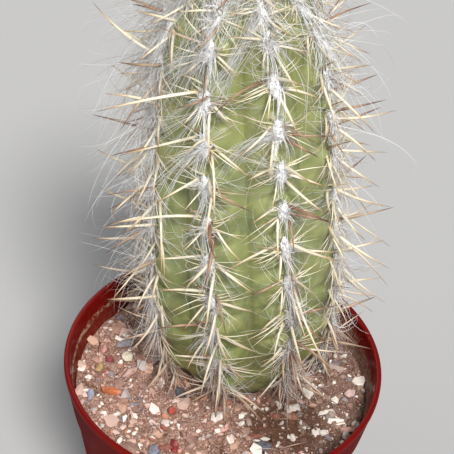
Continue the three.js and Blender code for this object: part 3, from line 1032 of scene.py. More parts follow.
def strand_mesh(name, paths, radii, sides, tones):
    """One mesh of all the strands, from their paths and the radius at each point, in millimetres."""
    curve = bpy.data.curves.new(name, "CURVE")
    curve.dimensions = "3D"
    curve.bevel_mode = "OBJECT"
    curve.bevel_object = section(sides)
    curve.use_fill_caps = True
    for path, radius in zip(paths, radii):
        spline = curve.splines.new("POLY")
        spline.points.add(len(path) - 1)
        spline.points.foreach_set("co", np.column_stack([path, np.ones(len(path))]).ravel())
        spline.points.foreach_set("radius", radius)
    holder = add_object(name, curve)
    mesh = final_mesh(holder)
    bpy.data.objects.remove(curve.bevel_object)
    bpy.data.objects.remove(holder)
    strand_attributes(mesh, len(paths), len(paths[0]), sides, tones)
    mesh.uv_layers.remove(mesh.uv_layers[0])
    return weld(mesh)


def weld(mesh):
    """Joins the caps to their tubes and draws each tip into one point. Makes the mesh metres large."""
    bm = bmesh.new()
    bm.from_mesh(mesh)
    bmesh.ops.remove_doubles(bm, verts=bm.verts, dist=WELD_REACH)
    bm.to_mesh(mesh)
    bm.free()
    mesh.transform(Matrix.Scale(MM, 4))
    mesh.shade_smooth()
    return mesh


print("section corners:", len(section(3).data.splines[0].points))
bpy.data.objects.remove(bpy.data.objects["section"])

# %% [markdown]
# ## Central spines
# Each areole holds six stout spines, and a young one four: two long ones that point up and down, one to
# each side, and two shorter ones. Their rule is the frame's: a facet of the skin beside the areole, a
# sideways swing, an upward rise and a length, each with a repeatable draw. Eighteen could be measured in
# the photograph and have their own numbers. A spine that would meet the soil or the pot is lifted until
# it is clear. Here each gets six sides, a slight bow and a real taper.

# %% Rule of the central spines
FACETS = {
    "upper_right": ((0, 0), (1, 0), (0, 1)),
    "right": ((1, 0), (0, 0), (1, -1)),
    "lower_right": ((0, -1), (1, -1), (0, 0)),
    "lower_left": ((0, 0), (-1, 0), (0, -1)),
    "left": ((-1, 0), (0, 0), (-1, 1)),
    "upper_left": ((0, 1), (-1, 1), (0, 0)),
}
# A kind's facet, the middle and spread of its swing, rise and length, its radius, and what a few have extra.
SPINE_KINDS = (
    ("upper_right", (8, 44), (8, 22), (27, 8), 0.8, 0),
    ("lower_right", (10, 40), (-48, 18), (26, 10), 0.78, 0),
    ("right", (62, 22), (-6, 40), (21, 8), 0.74, 17),
    ("left", (-62, 22), (-2, 40), (21, 8), 0.74, 17),
    ("lower_left", (-38, 28), (-38, 24), (18, 8), 0.6, 0),
    ("upper_left", (-24, 30), (38, 20), (14, 6), 0.52, 0),
)
# The swing, rise and length of single spines, by rib, row and kind.
MEASURED = {
    (7, 9, 3): (-56, -10, 43), (7, 7, 3): (-48, -22, 22), (6, 6, 3): (6, -32, 27),
    (6, 5, 3): (-15, -10, 22), (6, 5, 4): (-4, -22, 26), (6, 4, 3): (12, -36, 30),
    (6, 7, 3): (18, -42, 21), (0, 7, 1): (37, -32, 24), (0, 4, 1): (-6, -44, 27),
    (0, 4, 2): (-1, -41, 43), (1, 8, 2): (22, 3, 28), (1, 7, 2): (-7, -26, 25),
    (1, 5, 2): (25, 12, 25), (1, 5, 1): (-10, -23, 31), (1, 4, 2): (-20, -27, 32),
    (1, 3, 2): (4, -4, 22), (0, 8, 1): (50, -26, 18), (0, 6, 1): (-8, -50, 16),
}
LONG_SHARE = 0.14
CROWN_SPINES = 4
CROWN_ROWS = 3
SPINE_ROOT = 3
YOUNG_SPINE = 0.7
YOUNG_REACH = 40
LIFT_STEP = 6
LIFT_LIMIT = 14
CLEAR_OF_SOIL = 5
CLEAR_OF_WALL = 2
OUTER_PARTS = (0.45, 0.6, 0.8, 1)


def repeatable(item, choice):
    """A draw between 0 and 1 that is the same every time for an item's numbered choice."""
    wave = math.sin(item * 12.9898 + choice * 78.233) * 43758.5453
    return wave - math.floor(wave)


def unit(vectors):
    return vectors / np.linalg.norm(vectors, axis=-1, keepdims=True)


def areole_frame(rib, row):
    """The outward, sideways and upward directions at an areole."""
    angle = rib_angle(rib)
    s = float(row_height(rib, float(row)))
    step = axis_point(angle, s + 1, crest_radius(s + 1)) - axis_point(angle, s - 1, crest_radius(s - 1))
    up = unit(step)
    turned = angle + twist(s)
    side = np.array((math.cos(turned), math.sin(turned), 0))
    out = unit(np.cross(side, up))
    return out, np.cross(up, out), up


def growth(rib, row):
    """How full-grown an areole is: 0 at the tip of the stem, 1 from 40 mm below it."""
    return float(np.clip((STEM_HEIGHT - row_height(rib, float(row))) / YOUNG_REACH, 0, 1))


def is_clear(point):
    x, y, z = point + STEM_FOOT
    reach = math.hypot(x, y)
    if reach > LIP_RADIUS + CLEAR_OF_WALL or z > POT_HEIGHT + CLEAR_OF_WALL:
        return True
    return z > soil_top(x, y) + CLEAR_OF_SOIL and reach < inner_radius(z) - CLEAR_OF_WALL


def spine_way(seat, axes, swing, rise, length):
    """The direction of a spine, lifted in steps until its outer half is clear of soil and pot."""
    out, side, up = axes
    level = out * math.cos(swing) + side * math.sin(swing)
    for lift in range(LIFT_LIMIT):
        way = level * math.cos(rise) + up * math.sin(rise)
        way = unit(way + np.array((0, 0, math.tan(math.radians(lift * LIFT_STEP)))))
        if all(is_clear(seat + way * part * length) for part in OUTER_PARTS):
            break
    return way


def facet_seat(rib, row, facet):
    """The middle of a facet of the frame's stem. Its corners are given from the areole."""
    step = 2 * math.pi / (RIBS * SIDES_PER_RIB)
    places = [(rib_angle(rib) + column * step, row + up / ROWS_PER_AREOLE) for column, up in facet]
    return sum(skin_point(*place) for place in places) / len(places)


AREOLES = [(rib, row) for rib in range(RIBS) for row in range(1, AREOLES_PER_RIB + 1)]
print("areoles:", len(AREOLES))

# %% Grow the central spines
SPINE_POINTS = 7
BOW = 0.05
SPINE_TAPER = 2.4
STOUTNESS = (0.72, 1.12)
DARK_TONES = (0.75, 1)
LIGHT_TONES = (0.05, 0.6)
OLD_TONE = 0.25
DARK_SHARE = 0.12
DARK_SHARE_UPWARD = 0.4
DARK_ONES = ((0, 8, 1), (0, 6, 1))


def spine_path(seat, way, length, bow, points=SPINE_POINTS, root=SPINE_ROOT):
    """Points from the sunk root to the tip, bowed sideways by a share of the length."""
    share = np.linspace(0, 1, points)[:, None]
    straight = seat + way * (share * (length + root) - root)
    return straight + bow * length * np.sin(math.pi * share)


def taper(radius, points, power):
    share = np.linspace(0, 1, points)
    return np.maximum(radius * (1 - share**power), TIP_RADIUS)


def central_spines():
    draw = random.Random(11)
    paths, radii, tones = [], [], []
    for rib, row in AREOLES:
        axes = areole_frame(rib, row)
        grown = YOUNG_SPINE + (1 - YOUNG_SPINE) * growth(rib, row)
        item = 16 * rib + row
        young = row > AREOLES_PER_RIB - CROWN_ROWS
        kinds = SPINE_KINDS[:CROWN_SPINES] if young else SPINE_KINDS
        for i, (facet, swings, rises, lengths, radius, extra) in enumerate(kinds):
            pick = [
                middle + spread * (repeatable(item, 5 * i + choice) - 0.5)
                for choice, (middle, spread) in enumerate((swings, rises, lengths), 1)
            ]
            more = extra if repeatable(item, 5 * i + 4) < LONG_SHARE else 0
            drawn = (pick[0], pick[1], (pick[2] + more) * grown)
            swing, rise, length = MEASURED.get((rib, row, i), drawn)
            seat = facet_seat(rib, row, FACETS[facet])
            way = spine_way(seat, axes, math.radians(swing), math.radians(rise), length)
            bow = np.array([draw.uniform(-BOW, BOW) for _ in range(3)])
            paths.append(spine_path(seat, way, length, bow) + STEM_FOOT)
            stout = radius * grown * draw.uniform(*STOUTNESS)
            radii.append(taper(stout, SPINE_POINTS, SPINE_TAPER))
            share = DARK_SHARE_UPWARD if rises[0] > 0 else DARK_SHARE
            if draw.random() < share or (rib, row, i) in DARK_ONES:
                tones.append(draw.uniform(*DARK_TONES))
            else:
                tones.append(draw.uniform(*LIGHT_TONES) + (row < OLD_ROWS) * OLD_TONE)
    return strand_mesh("central_spines", paths, radii, 6, np.minimum(tones, 1))


central_mesh = central_spines()

# %% [markdown]
# ## Spine horn
# A spine is brown where it leaves the wool, ivory and then tan along its length, and dark at the tip. Some
# are dark all over, and low ones have weathered to a pinkish grey. The colour runs along the strand, and
# the tone decides how dark a spine is as a whole.

# %% Finish of the spines
HORN_IVORY = (
    (0.0, "9c6a45"), (0.07, "dcc39b"), (0.3, "f0e8d2"), (0.62, "e6d6b6"), (0.84, "b5946c"), (1.0, "55301f"),
)
HORN_STRAW = ((0.0, "ae8447"), (0.14, "ddce9f"), (0.5, "f0ead3"), (0.8, "d8c5a2"), (1.0, "9c7550"))
HORN_DARK = ((0.0, "43261a"), (0.25, "7d5138"), (0.55, "a98468"), (0.8, "5c3526"), (1.0, "2b1812"))
WEATHERED = paint("b5a094")


def horn_finish(name, stops, darkest, weathered=0.5):
    horn = Finish(name, IOR=1.5)
    along = horn.attribute("along")
    tone = horn.attribute("tone")
    uneven = along + (horn.noise(4, 3) - 0.5) * 0.16
    low = 1 - horn.axis(2).between(SOIL_LEVEL + 10, SOIL_LEVEL + 110)
    pale = horn.mix(low * weathered, horn.ramp(uneven, stops), WEATHERED)
    dark = horn.ramp(uneven, HORN_DARK)
    horn.set("Base Color", horn.mix(tone.between(0.45, 0.95) * darkest, pale, dark))
    fibres = horn.noise(0.5, 4, 0.6)
    horn.set("Roughness", 0.34 + fibres * 0.2)
    horn.bump(fibres, 0.05, 0.6)
    return horn


add_piece("central_spines", central_mesh, horn_finish("stout_horn", HORN_IVORY, 1.0))

# %% [markdown]
# ## Radial spines
# Round the stout spines, thirteen thin ones fan out to both sides and arch over the furrows. Each starts
# sideways and a little outwards and has two soft bends. The two functions that keep it outside the skin
# and above the soil will serve the hair as well.

# %% Grow the radial spines
RADIALS = 13
RADIAL_POINTS = 7
RADIAL_LENGTHS = (11, 27)
RADIAL_RADII = (0.2, 0.4)
RADIAL_GAP = 0.4
RADIAL_MIDDLE = -4
RADIAL_SPREAD = 30
RADIAL_LIMIT = 68
LOWEST_CLOCK = (240, 300)


def row_at(rib, s):
    """The row at height s on each point's own rib."""
    t = np.zeros(len(s))
    for number in range(RIBS):
        own = np.mod(rib, RIBS) == number
        t[own] = np.interp(s[own], ROWS[number], np.arange(TOP_ROW + 2))
    return t


def outside_skin(points, gap):
    """Pushes points in the stem's own frame out of the skin, until they are clear of it by the gap."""
    s = np.clip(points[:, 2], 0, STEM_HEIGHT)
    x = points[:, 0] - STEM_LEAN * s
    y = points[:, 1]
    reach = np.maximum(np.hypot(x, y), 1e-6)
    left, between, across = rib_share(np.arctan2(x, -y) - twist(s))
    bump = ((1 + np.cos(2 * math.pi * row_at(left + np.round(between), s))) / 2) ** 2
    tubercle = TUBERCLE_RISE * bump * (1 - across**2) ** 2
    least = crest_radius(s) * (1 - RIB_DEPTH * across**2) + tubercle + gap
    push = np.maximum(1, least / reach)
    pushed = np.column_stack([STEM_LEAN * s + x * push, y * push, points[:, 2]])
    return np.where((points[:, 2] < STEM_HEIGHT)[:, None], pushed, points)


def radial_path(seat, axes, clock, lift, fall, sway, length):
    """Clock is the angle round the areole, lift the outward start, and fall and sway are two bends."""
    out, side, up = axes
    way = unit(side * math.cos(clock) + up * math.sin(clock) + out * lift)
    share = np.linspace(0, 1, RADIAL_POINTS)[:, None]
    path = seat + way * share * length + (up * sway - out * fall) * length * share**2
    path[2:] = outside_skin(path[2:], RADIAL_GAP)
    return path


def above_soil(path, gap=0.5):
    """Lifts points that would be in the soil or the pot's wall to just above it."""
    x, y = path[..., 0], path[..., 1]
    at_wall = np.hypot(x, y) > SOIL_RADIUS
    floor = np.where(at_wall, POT_HEIGHT, soil_top(x, y)) + gap
    path[..., 2] = np.maximum(path[..., 2], floor)
    return path


def radial_spines():
    draw = random.Random(23)
    paths, radii, tones = [], [], []
    for rib, row in AREOLES:
        axes = areole_frame(rib, row)
        seat = areole_seat(rib, row) - axes[0]
        for i in range(RADIALS):
            fan = min(max(draw.gauss(RADIAL_MIDDLE, RADIAL_SPREAD), -RADIAL_LIMIT), RADIAL_LIMIT)
            fan = math.radians(fan)
            clock = fan if i % 2 else math.pi - fan
            if i == RADIALS - 1:
                clock = math.radians(draw.uniform(*LOWEST_CLOCK))
            length = draw.uniform(*RADIAL_LENGTHS) * (0.6 + 0.4 * growth(rib, row))
            place = seat + axes[2] * draw.uniform(-2.6, 2.6)
            lift, fall, sway = draw.uniform(0.08, 0.5), draw.uniform(0.1, 0.42), draw.uniform(-0.3, 0.22)
            path = radial_path(place, axes, clock, lift, fall, sway, length)
            paths.append(above_soil(path + STEM_FOOT))
            radii.append(taper(draw.uniform(*RADIAL_RADII), RADIAL_POINTS, 1.8))
            tones.append(draw.random() ** 2 * 0.9 + (row < OLD_ROWS) * 0.3)
    return strand_mesh("radial_spines", paths, radii, 4, tones)


add_piece("radial_spines", radial_spines(), horn_finish("thin_horn", HORN_STRAW, 0.8))

# %% [markdown]
# ## Wool
# An areole is a cushion of felt, longer than wide, from which all spines grow. It is snow white on top of
# the plant and grey with grit near the soil. A lumpy icosphere makes the felt, and short curly strands
# break its outline. Silky locks hang from it and run down the rib to the next areole.

# %% Felt cushions
FELT = (2.3, 5.2, 1.3)
FELT_LUMPS = 0.6
FELT_WHITE = paint("f8f7f6")
FELT_GREY = paint("8e8279")
FELT_BROWN = paint("77685d")
FELT_SPECK_AND_SHADE = paint("4c4039")


def felt_cushions():
    bm = bmesh.new()
    ages = []
    for rib, row in AREOLES:
        out, side, up = areole_frame(rib, row)
        middle = areole_seat(rib, row) + out * 0.35 + STEM_FOOT
        size = (0.62 + 0.38 * growth(rib, row)) * min(1, 0.65 + 0.35 * row / OLD_ROWS)
        axes = Matrix((side * FELT[0] * size, up * FELT[1] * size, out * FELT[2] * size)).transposed()
        place = Matrix.Translation(middle) @ axes.to_4x4()
        made = bmesh.ops.create_icosphere(bm, subdivisions=3, radius=1, matrix=place)
        for vert in made["verts"]:
            lumps = noise.noise(vert.co / 1.1) + 0.8 * noise.noise(vert.co / 0.45)
            vert.co += (vert.co - Vector(middle)) * FELT_LUMPS * lumps
        ages += [row / AREOLES_PER_RIB] * len(made["verts"])
    mesh = mesh_from(bm, "felt")
    set_attribute(mesh, "tone", ages)
    return mesh


def felt_finish():
    felt = Finish("areole_felt", Roughness=0.95)
    age = felt.attribute("tone")
    grime = felt.noise(0.8, 5, 0.7)
    dirty = (grime - age * 0.34).between(0.38, 0.56)
    old = 1 - (age + (grime - 0.5) * 0.3).between(0.08, 0.42)
    colour = felt.mix(dirty * 0.7, FELT_WHITE, FELT_GREY)
    colour = felt.mix(old * 0.75, colour, FELT_BROWN)
    # Dark pits: a few are specks of grit, but most are painted shade in the felt's hollows and under the
    # spines.
    pit_specks_and_shade = felt.noise(1.1, 3).between(0.54, 0.64)
    felt.set("Base Color", felt.mix(pit_specks_and_shade * (0.8 - age * 0.4), colour, FELT_SPECK_AND_SHADE))
    felt.bump(felt.noise(0.35, 4, 0.7), 0.4)
    return felt


add_piece("areole_felt", felt_cushions(), felt_finish())

# %% [markdown]
# ## How hair falls
# Each hair leaves its areole in its own direction, droops under its weight, and is pulled into locks with
# its neighbours. All hairs grow together, one short step at a time: a step turns the hair a little
# downwards, along a shared swirl and round its own bend, and fine hair also clings to the skin. A hair
# that would enter the skin or the soil is pushed out.

# %% Grow strands step by step
DOWN = np.array((0, 0, -1.0))
LOCK_SPREAD = (1.7, 4.0)
ROOT_SCATTER = 0.35
ROOT_HEIGHT = 0.3
OUTWARD = 0.45
LEAST_OUTWARD = 0.12
PHASE_SPREAD = 0.15
HAIR_GAP = 0.4
BOX_MARGIN = 0.5


def swirl(points, size, phase):
    """A smooth field of directions, which near hairs share."""
    x, y, z = np.moveaxis(points / size, -1, 0) + phase
    return np.stack(
        [np.sin(1.7 * y + 1.1 * z), np.sin(1.3 * z + 1.9 * x + 1), np.sin(1.1 * x + 1.6 * y + 2)], axis=-1
    )


def inside_box(points):
    """Keeps points in the pot's frame within the box of the solids."""
    low, high = (np.array(corner) / MM for corner in cad_box)
    return np.clip(points, low + BOX_MARGIN, high - BOX_MARGIN)


def grow(roots, ways, bends, lengths, steps, droop, curl, size, gap, seed, hug=0.0):
    """Paths of many hairs, as an array of hairs by points by coordinates, in the pot's frame.

    Size is that of the swirl's eddies, gap the distance kept from the skin, and hug how much a hair clings.
    """
    draw = np.random.default_rng(seed)
    phase = draw.normal(0, PHASE_SPREAD, (3, len(roots)))
    points, way = roots.copy(), unit(ways)
    path = [points]
    for _ in range(steps):
        inward = axis_point(0 * droop, points[:, 2], 0 * droop) - points + DOWN * 0.001
        way = way + DOWN * droop[:, None] + curl[:, None] * swirl(points, size, phase) + hug * unit(inward)
        way = unit(way + np.cross(bends, way))
        points = outside_skin(points + way * (lengths / steps)[:, None], gap)
        path.append(points)
    path = np.stack(path, axis=1) + STEM_FOOT
    return above_soil(inside_box(path), HAIR_GAP)


def tufts(chosen, locks, hairs, seed, weights, lift, fray, arc):
    """Roots, ways and bends of hairs on the areoles, and their rows. A lock shares a way and a bend."""
    draw = np.random.default_rng(seed)
    roots, ways, bends, rows = [], [], [], []
    for rib, row in chosen:
        axes = np.array(areole_frame(rib, row))
        mixed = draw.normal(0, 1, (locks, 3)) * weights + (OUTWARD, 0, lift)
        mixed[:, 0] = np.abs(mixed[:, 0]) + LEAST_OUTWARD
        mixed = np.repeat(mixed, hairs, axis=0) + draw.normal(0, fray, (locks * hairs, 3))
        places = np.repeat(draw.uniform(-1, 1, (locks, 2)) * LOCK_SPREAD, hairs, axis=0)
        places = places + draw.normal(0, ROOT_SCATTER, (locks * hairs, 2))
        bend = unit(draw.normal(0, 1, (locks, 3))) * draw.normal(0, arc, (locks, 1))
        bends.append(np.repeat(bend, hairs, axis=0) + draw.normal(0, arc * 0.25, (locks * hairs, 3)))
        roots.append(areole_seat(rib, row) + axes[0] * ROOT_HEIGHT + places @ axes[1:])
        ways.append(mixed @ axes)
        rows += [row] * (locks * hairs)
    return np.concatenate(roots), np.concatenate(ways), np.concatenate(bends), np.array(rows)


root, way, one = np.array([[0, -45, 150.0]]), np.array([[0, -1.0, 0]]), np.ones(1)
test_hair = grow(root, way, 0 * way, 30 * one, 8, one, one, 20, 1, 1)
print("a test hair ends at", np.round(test_hair[0, -1], 1))

# %% Wool on the areoles
CURL_LOCKS, CURLS = 14, 3
HANGING_LOCKS, HANGING_HAIRS = 3, 6
HAIR_SIDES = 3


def for_each(value, count, draw):
    """One number for each hair: drawn, if value is a pair of limits, or else as it is given."""
    return draw.uniform(*value, count) if isinstance(value, tuple) else np.full(count, value)


def grow_hairs(hairs, draw, seed, length, droop, curl, radii, steps, size, gap, hug=0.0):
    """The paths and radii of hairs. Length, droop and curl are given as for_each takes them."""
    count = len(hairs[0])
    lengths, droop, curl = (for_each(value, count, draw) for value in (length, droop, curl))
    paths = grow(*hairs, lengths, steps, droop, curl, size, gap, seed, hug)
    shape = np.maximum(1 - np.linspace(0, 1, steps + 1) ** 3, 0.05)
    return paths, draw.uniform(*radii, (count, 1)) * shape


def ageing(rows, draw):
    """Tones of wool: 1 is old and dull, and each hair differs a little."""
    return 1 - rows / AREOLES_PER_RIB - draw.uniform(0, 0.2, len(rows))


def wool_curls():
    draw = np.random.default_rng(41)
    *hairs, rows = tufts(AREOLES, CURL_LOCKS, CURLS, 42, (0.5, 0.8, 0.8), lift=0.1, fray=0.3, arc=0.5)
    form = {"length": (3, 8.4), "droop": 0.05, "curl": 0.5, "radii": (0.1, 0.19)}
    grown = grow_hairs(hairs, draw, 43, **form, steps=5, size=1.5, gap=0.3)
    return strand_mesh("wool_curls", *grown, HAIR_SIDES, ageing(rows, draw))


def hanging_locks():
    draw = np.random.default_rng(51)
    lie = {"weights": (0.2, 0.3, 0.3), "lift": -1.0, "fray": 0.12, "arc": 0.08}
    *hairs, rows = tufts(AREOLES, HANGING_LOCKS, HANGING_HAIRS, 52, **lie)
    form = {"length": (8, 21), "droop": 0.35, "curl": 0.12, "radii": (0.07, 0.14)}
    grown = grow_hairs(hairs, draw, 53, **form, steps=7, size=6, gap=0.4)
    return strand_mesh("wool_locks", *grown, HAIR_SIDES, ageing(rows, draw))


curls_mesh = wool_curls()
locks_mesh = hanging_locks()
print("wool faces:", len(curls_mesh.polygons), "in curls and", len(locks_mesh.polygons), "in locks")

# %% Finish of wool and hair


def hair_finish(name, bright, dull, bristle):
    """Silk from bright to dull, and a few strands in the colour of horn."""
    hair = Finish(name, Roughness=0.45, IOR=1.5, Sheen_Weight=0.25, Sheen_Roughness=0.4)
    tone = hair.attribute("tone")
    colour = hair.mix(tone.between(0.2, 0.85), paint(bright), paint(dull))
    hair.set("Base Color", hair.mix(tone.between(0.84, 0.9), colour, paint(bristle)))
    return hair


wool_white = hair_finish("silky_wool", "fcfcfb", "cdc6bf", "8d8077")
add_piece("wool_curls", curls_mesh, wool_white)
add_piece("wool_locks", locks_mesh, wool_white)

# %% [markdown]
# ## Hair
# The long hair is what this cactus is known for. It is densest round the crown, where whole locks are
# combed down over the left shoulder and across the front, and finer hairs stray over the body in loose
# arcs. Five pieces share the work, so that none gets too heavy: the fine hair of the body, the crown's
# veil, the tangle on the sides, the long locks that run from one areole to another, and a few single
# hairs that stand far out.

# %% Fine hair over the body
BODY_LOCKS, BODY_HAIRS = 11, 3


def body_hair():
    draw = np.random.default_rng(61)
    lie = {"weights": (0.25, 1.1, 0.7), "lift": 0.0, "fray": 0.25, "arc": 0.3}
    *hairs, rows = tufts(AREOLES, BODY_LOCKS, BODY_HAIRS, 62, **lie)
    length = draw.uniform(11, 31, len(rows)) + 6 * (rows / AREOLES_PER_RIB) ** 2
    form = {"length": length, "droop": (0, 0.14), "curl": (0.15, 0.5), "radii": (0.065, 0.115)}
    grown = grow_hairs(hairs, draw, 63, **form, steps=8, size=9, gap=0.6, hug=0.22)
    return strand_mesh("body_hair", *grown, HAIR_SIDES, draw.random(len(rows)) * 0.9)


hair_white = hair_finish("silky_hair", "e6e6e4", "aba39c", "97786b")
add_piece("body_hair", body_hair(), hair_white)

# %% The crown's veil
VEIL_FROM_ROW = 8
VEIL_LOCKS, VEIL_HAIRS = 3, 9
VEIL_WAY = np.array((-0.5, 0, -0.35))
COMBED_FROM = 25


def veil_hair():
    draw = np.random.default_rng(71)
    high = [(rib, row) for rib, row in AREOLES if row >= VEIL_FROM_ROW]
    lie = {"weights": (0.6, 0.5, 0.5), "lift": -0.2, "fray": 0.08, "arc": 0.08}
    roots, ways, bends, _ = tufts(high, VEIL_LOCKS, VEIL_HAIRS, 72, **lie)
    combed = np.clip(-roots[:, :1] / COMBED_FROM, 0, 1)
    keep = draw.random(len(roots)) < 0.12 + 0.88 * combed[:, 0] ** 2
    roots, bends, combed = roots[keep], bends[keep], combed[keep]
    ways = unit(ways[keep]) * (1 - 0.6 * combed) + VEIL_WAY * 2 * combed
    form = {"length": (18, 60), "droop": (0.08, 0.22), "curl": (0.04, 0.2), "radii": (0.06, 0.12)}
    grown = grow_hairs((roots, ways, bends), draw, 73, **form, steps=11, size=24, gap=1.0)
    return strand_mesh("veil_hair", *grown, HAIR_SIDES, draw.random(len(roots)) * 0.7)


add_piece("veil_hair", veil_hair(), hair_white)

# %% The tangle on the sides
SIDE_LOCKS, SIDE_HAIRS = 6, 4
SIDE_RIBS = (1, 2, 3, 5, 6)
SIDE_ROWS = range(3, 11)
SIDE_REACH = 30


def side_hair():
    draw = np.random.default_rng(81)
    sides = [(rib, row) for rib, row in AREOLES if rib in SIDE_RIBS and row in SIDE_ROWS]
    lie = {"weights": (0.8, 0.7, 0.6), "lift": 0.0, "fray": 0.25, "arc": 0.25}
    roots, ways, bends, _ = tufts(sides, SIDE_LOCKS, SIDE_HAIRS, 82, **lie)
    left = np.clip(-roots[:, 0] / SIDE_REACH, 0, 1)
    right = np.clip(roots[:, 0] / SIDE_REACH, 0, 1)
    length = draw.uniform(10, 28, len(roots)) * (1 + 0.6 * left)
    droop = draw.uniform(0.1, 0.35, len(roots))
    curl = draw.uniform(0.25, 0.6, len(roots)) * (1 - 0.7 * left)
    tones = draw.random(len(roots)) * 1.12 + 0.25 * right
    form = {"length": length, "droop": droop, "curl": curl, "radii": (0.06, 0.13)}
    grown = grow_hairs((roots, ways, bends), draw, 83, **form, steps=10, size=8, gap=0.8)
    return strand_mesh("side_hair", *grown, HAIR_SIDES, tones)


add_piece("side_hair", side_hair(), hair_white)

# %% Long locks between areoles
LONG_LOCKS = (
    ((0, 11), (7, 9), 34), ((0, 13), (7, 10), 20), ((0, 8), (7, 8), 30), ((7, 10), (6, 9), 16),
    ((7, 11), (6, 8), 20), ((6, 11), (6, 8), 26), ((6, 12), (5, 8), 30), ((1, 12), (1, 8), 20),
    ((2, 11), (1, 9), 20), ((3, 12), (3, 9), 24), ((4, 12), (4, 8), 30), ((5, 12), (5, 9), 24),
)


def long_locks():
    """Locks that run between two areoles, each given as rib and row, with a number of hairs."""
    draw = np.random.default_rng(101)
    roots, ways, lengths = [], [], []
    for start, end, count in LONG_LOCKS:
        first, last = areole_seat(*start), areole_seat(*end)
        out, side, up = areole_frame(*start)
        spread = draw.normal(0, 1, (count, 1)) * side * 1.2 + draw.normal(0, 1, (count, 1)) * up * 1.4
        roots.append(first + out + spread)
        ways.append(last + out * 2 - first + spread * 0.6 + draw.normal(0, 1.0, (count, 3)))
        lengths.append(np.linalg.norm(last - first) * draw.uniform(0.8, 1.35, count))
    roots, ways, lengths = (np.concatenate(parts) for parts in (roots, ways, lengths))
    hairs = roots, ways, draw.normal(0, 0.02, roots.shape)
    form = {"length": lengths, "droop": 0.03, "curl": 0.05, "radii": (0.07, 0.13)}
    grown = grow_hairs(hairs, draw, 103, **form, steps=11, size=16, gap=1.8)
    return strand_mesh("long_locks", *grown, HAIR_SIDES, draw.random(len(roots)) * 0.4)


add_piece("long_locks", long_locks(), hair_white)

# %% Single long hairs
STRAY_RIBS = (1, 2, 4, 5, 6)
STRAY_FROM_ROW = 5


def stray_hairs():
    draw = np.random.default_rng(111)
    sides = [(rib, row) for rib, row in AREOLES if rib in STRAY_RIBS and row >= STRAY_FROM_ROW]
    *hairs, rows = tufts(sides, 1, 1, 112, (0.5, 0.7, 0.3), lift=-0.4, fray=0.1, arc=0.05)
    form = {"length": (30, 65), "droop": (0.03, 0.12), "curl": (0.02, 0.1), "radii": (0.11, 0.18)}
    grown = grow_hairs(hairs, draw, 113, **form, steps=12, size=30, gap=1.5)
    return strand_mesh("stray_hairs", *grown, HAIR_SIDES, draw.random(len(rows)) * 0.3)


add_piece("stray_hairs", stray_hairs(), hair_white)

# %% [markdown]
# ## Old spines on the soil
# The lowest areoles are the oldest. Their thin spines hang down in fans and rest on the soil, grey and
# brown, and others have broken off and lie there. All are strands again. A point that would be in the
# soil is lifted onto it, so a hanging spine bends where it meets the ground.

# %% Fans and litter
LITTER = 70
FAN_ROWS = 2
FAN_SPINES = 11
OLD_POINTS = 8
OLD_RADII = (0.18, 0.4)
OLD_TONES = (0.45, 1)
OLD_GAP = 0.7
OLD_WALL_GAP = 1.5
FAN_SWING = 58
FAN_DROP = (0.7, 2.2)
FAN_BOW = 0.12
FAN_LENGTHS = (14, 31)
LITTER_LENGTHS = (5, 17)


def in_pot(path):
    """Draws back what would be in the pot's wall, and lifts what would be in the soil."""
    reach = np.hypot(path[:, 0], path[:, 1])
    path[:, :2] *= np.minimum(1, (SOIL_RADIUS - OLD_WALL_GAP) / reach)[:, None]
    return above_soil(path, OLD_GAP)


def hanging_fans(draw):
    paths = []
    for rib, row in AREOLES:
        if row > FAN_ROWS:
            continue
        out, side, up = areole_frame(rib, row)
        seat = areole_seat(rib, row) + STEM_FOOT
        for _ in range(FAN_SPINES):
            swing = math.radians(draw.uniform(-FAN_SWING, FAN_SWING))
            level = out * math.cos(swing) + side * math.sin(swing)
            way = unit(level - np.array((0, 0, draw.uniform(*FAN_DROP))))
            length = draw.uniform(*FAN_LENGTHS)
            bow = up * draw.uniform(0, FAN_BOW)
            paths.append(in_pot(spine_path(seat, way, length, bow, OLD_POINTS, 1)))
    return paths


def loose_litter(draw):
    paths = []
    for x, y in grain_spots(LITTER, draw):
        angle = draw.uniform(0, 2 * math.pi)
        way = np.array((math.cos(angle), math.sin(angle), draw.uniform(-0.05, 0.12)))
        seat = np.array((x, y, float(soil_top(x, y)) + 1.5))
        bow = np.array((draw.uniform(-0.05, 0.05), draw.uniform(-0.05, 0.05), 0.03))
        length = draw.uniform(*LITTER_LENGTHS)
        paths.append(in_pot(spine_path(seat, way, length, bow, OLD_POINTS, 0)))
    return paths


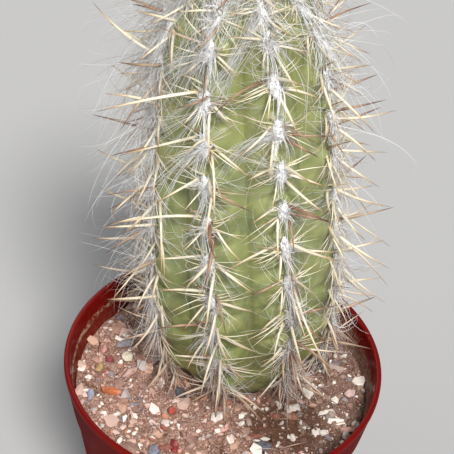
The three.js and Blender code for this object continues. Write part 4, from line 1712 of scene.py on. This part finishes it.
def old_spines():
    draw = random.Random(91)
    paths = hanging_fans(draw) + loose_litter(draw)
    radii = [taper(draw.uniform(*OLD_RADII), OLD_POINTS, 2) for _ in paths]
    return strand_mesh("old_spines", paths, radii, 4, [draw.uniform(*OLD_TONES) for _ in paths])


add_piece("old_spines", old_spines(), horn_finish("old_horn", HORN_DARK, 1.0, 0.6))

# %% [markdown]
# ## Floor and light
# A plain pale floor and soft light show the plant without a setting of its own. The main light comes from
# the front, from high up and a little to the right. A weak one comes from the left, another from behind
# brightens the edges of the hair, and the world's pale grey softens what is left of the shadows.

# %% Floor
FLOOR_SIZE = 8.0


def floor_mesh():
    bm = bmesh.new()
    bmesh.ops.create_circle(bm, cap_ends=True, segments=96, radius=FLOOR_SIZE / MM)
    return mesh_from(bm, "floor")


floor_finish = Finish("pale_floor", Roughness=0.9, Specular_IOR_Level=0.0)
floor_finish.set("Base Color", paint("a9a8a6"))
floor_shape = floor_mesh()
floor_shape.materials.append(floor_finish.material)
floor = add_object("floor", floor_shape)
print("floor", 2 * FLOOR_SIZE, "m across")

# %% Lights
SKY_COLOUR = (0.9, 0.93, 1.0, 1)
SKY_STRENGTH = 0.38
AIM = Vector((0, 0, 0.2))


def soft_light(name, place, spread, strength, colour):
    """A light so far off that it falls evenly on the whole floor. Spread is its width in degrees."""
    lamp = bpy.data.lights.new(name, "SUN")
    lamp.angle = math.radians(spread)
    lamp.energy = strength
    lamp.color = colour
    item = add_object(name, lamp)
    item.location = place
    item.rotation_euler = (AIM - item.location).to_track_quat("-Z", "Y").to_euler()


soft_light("key_light", (0.5, -1.5, 2.1), 15, 4.15, (1.0, 0.995, 0.985))
soft_light("fill_light", (-1.2, -0.6, 0.8), 35, 0.4, (0.93, 0.96, 1.0))
soft_light("back_light", (-0.3, 1.3, 1.0), 35, 0.6, (1.0, 1.0, 1.0))
world = bpy.data.worlds.new("studio")
world.use_nodes = True
sky = world.node_tree.nodes["Background"].inputs
sky["Color"].default_value = SKY_COLOUR
sky["Strength"].default_value = SKY_STRENGTH
scene.world = world
scene.view_settings.view_transform = "Standard"
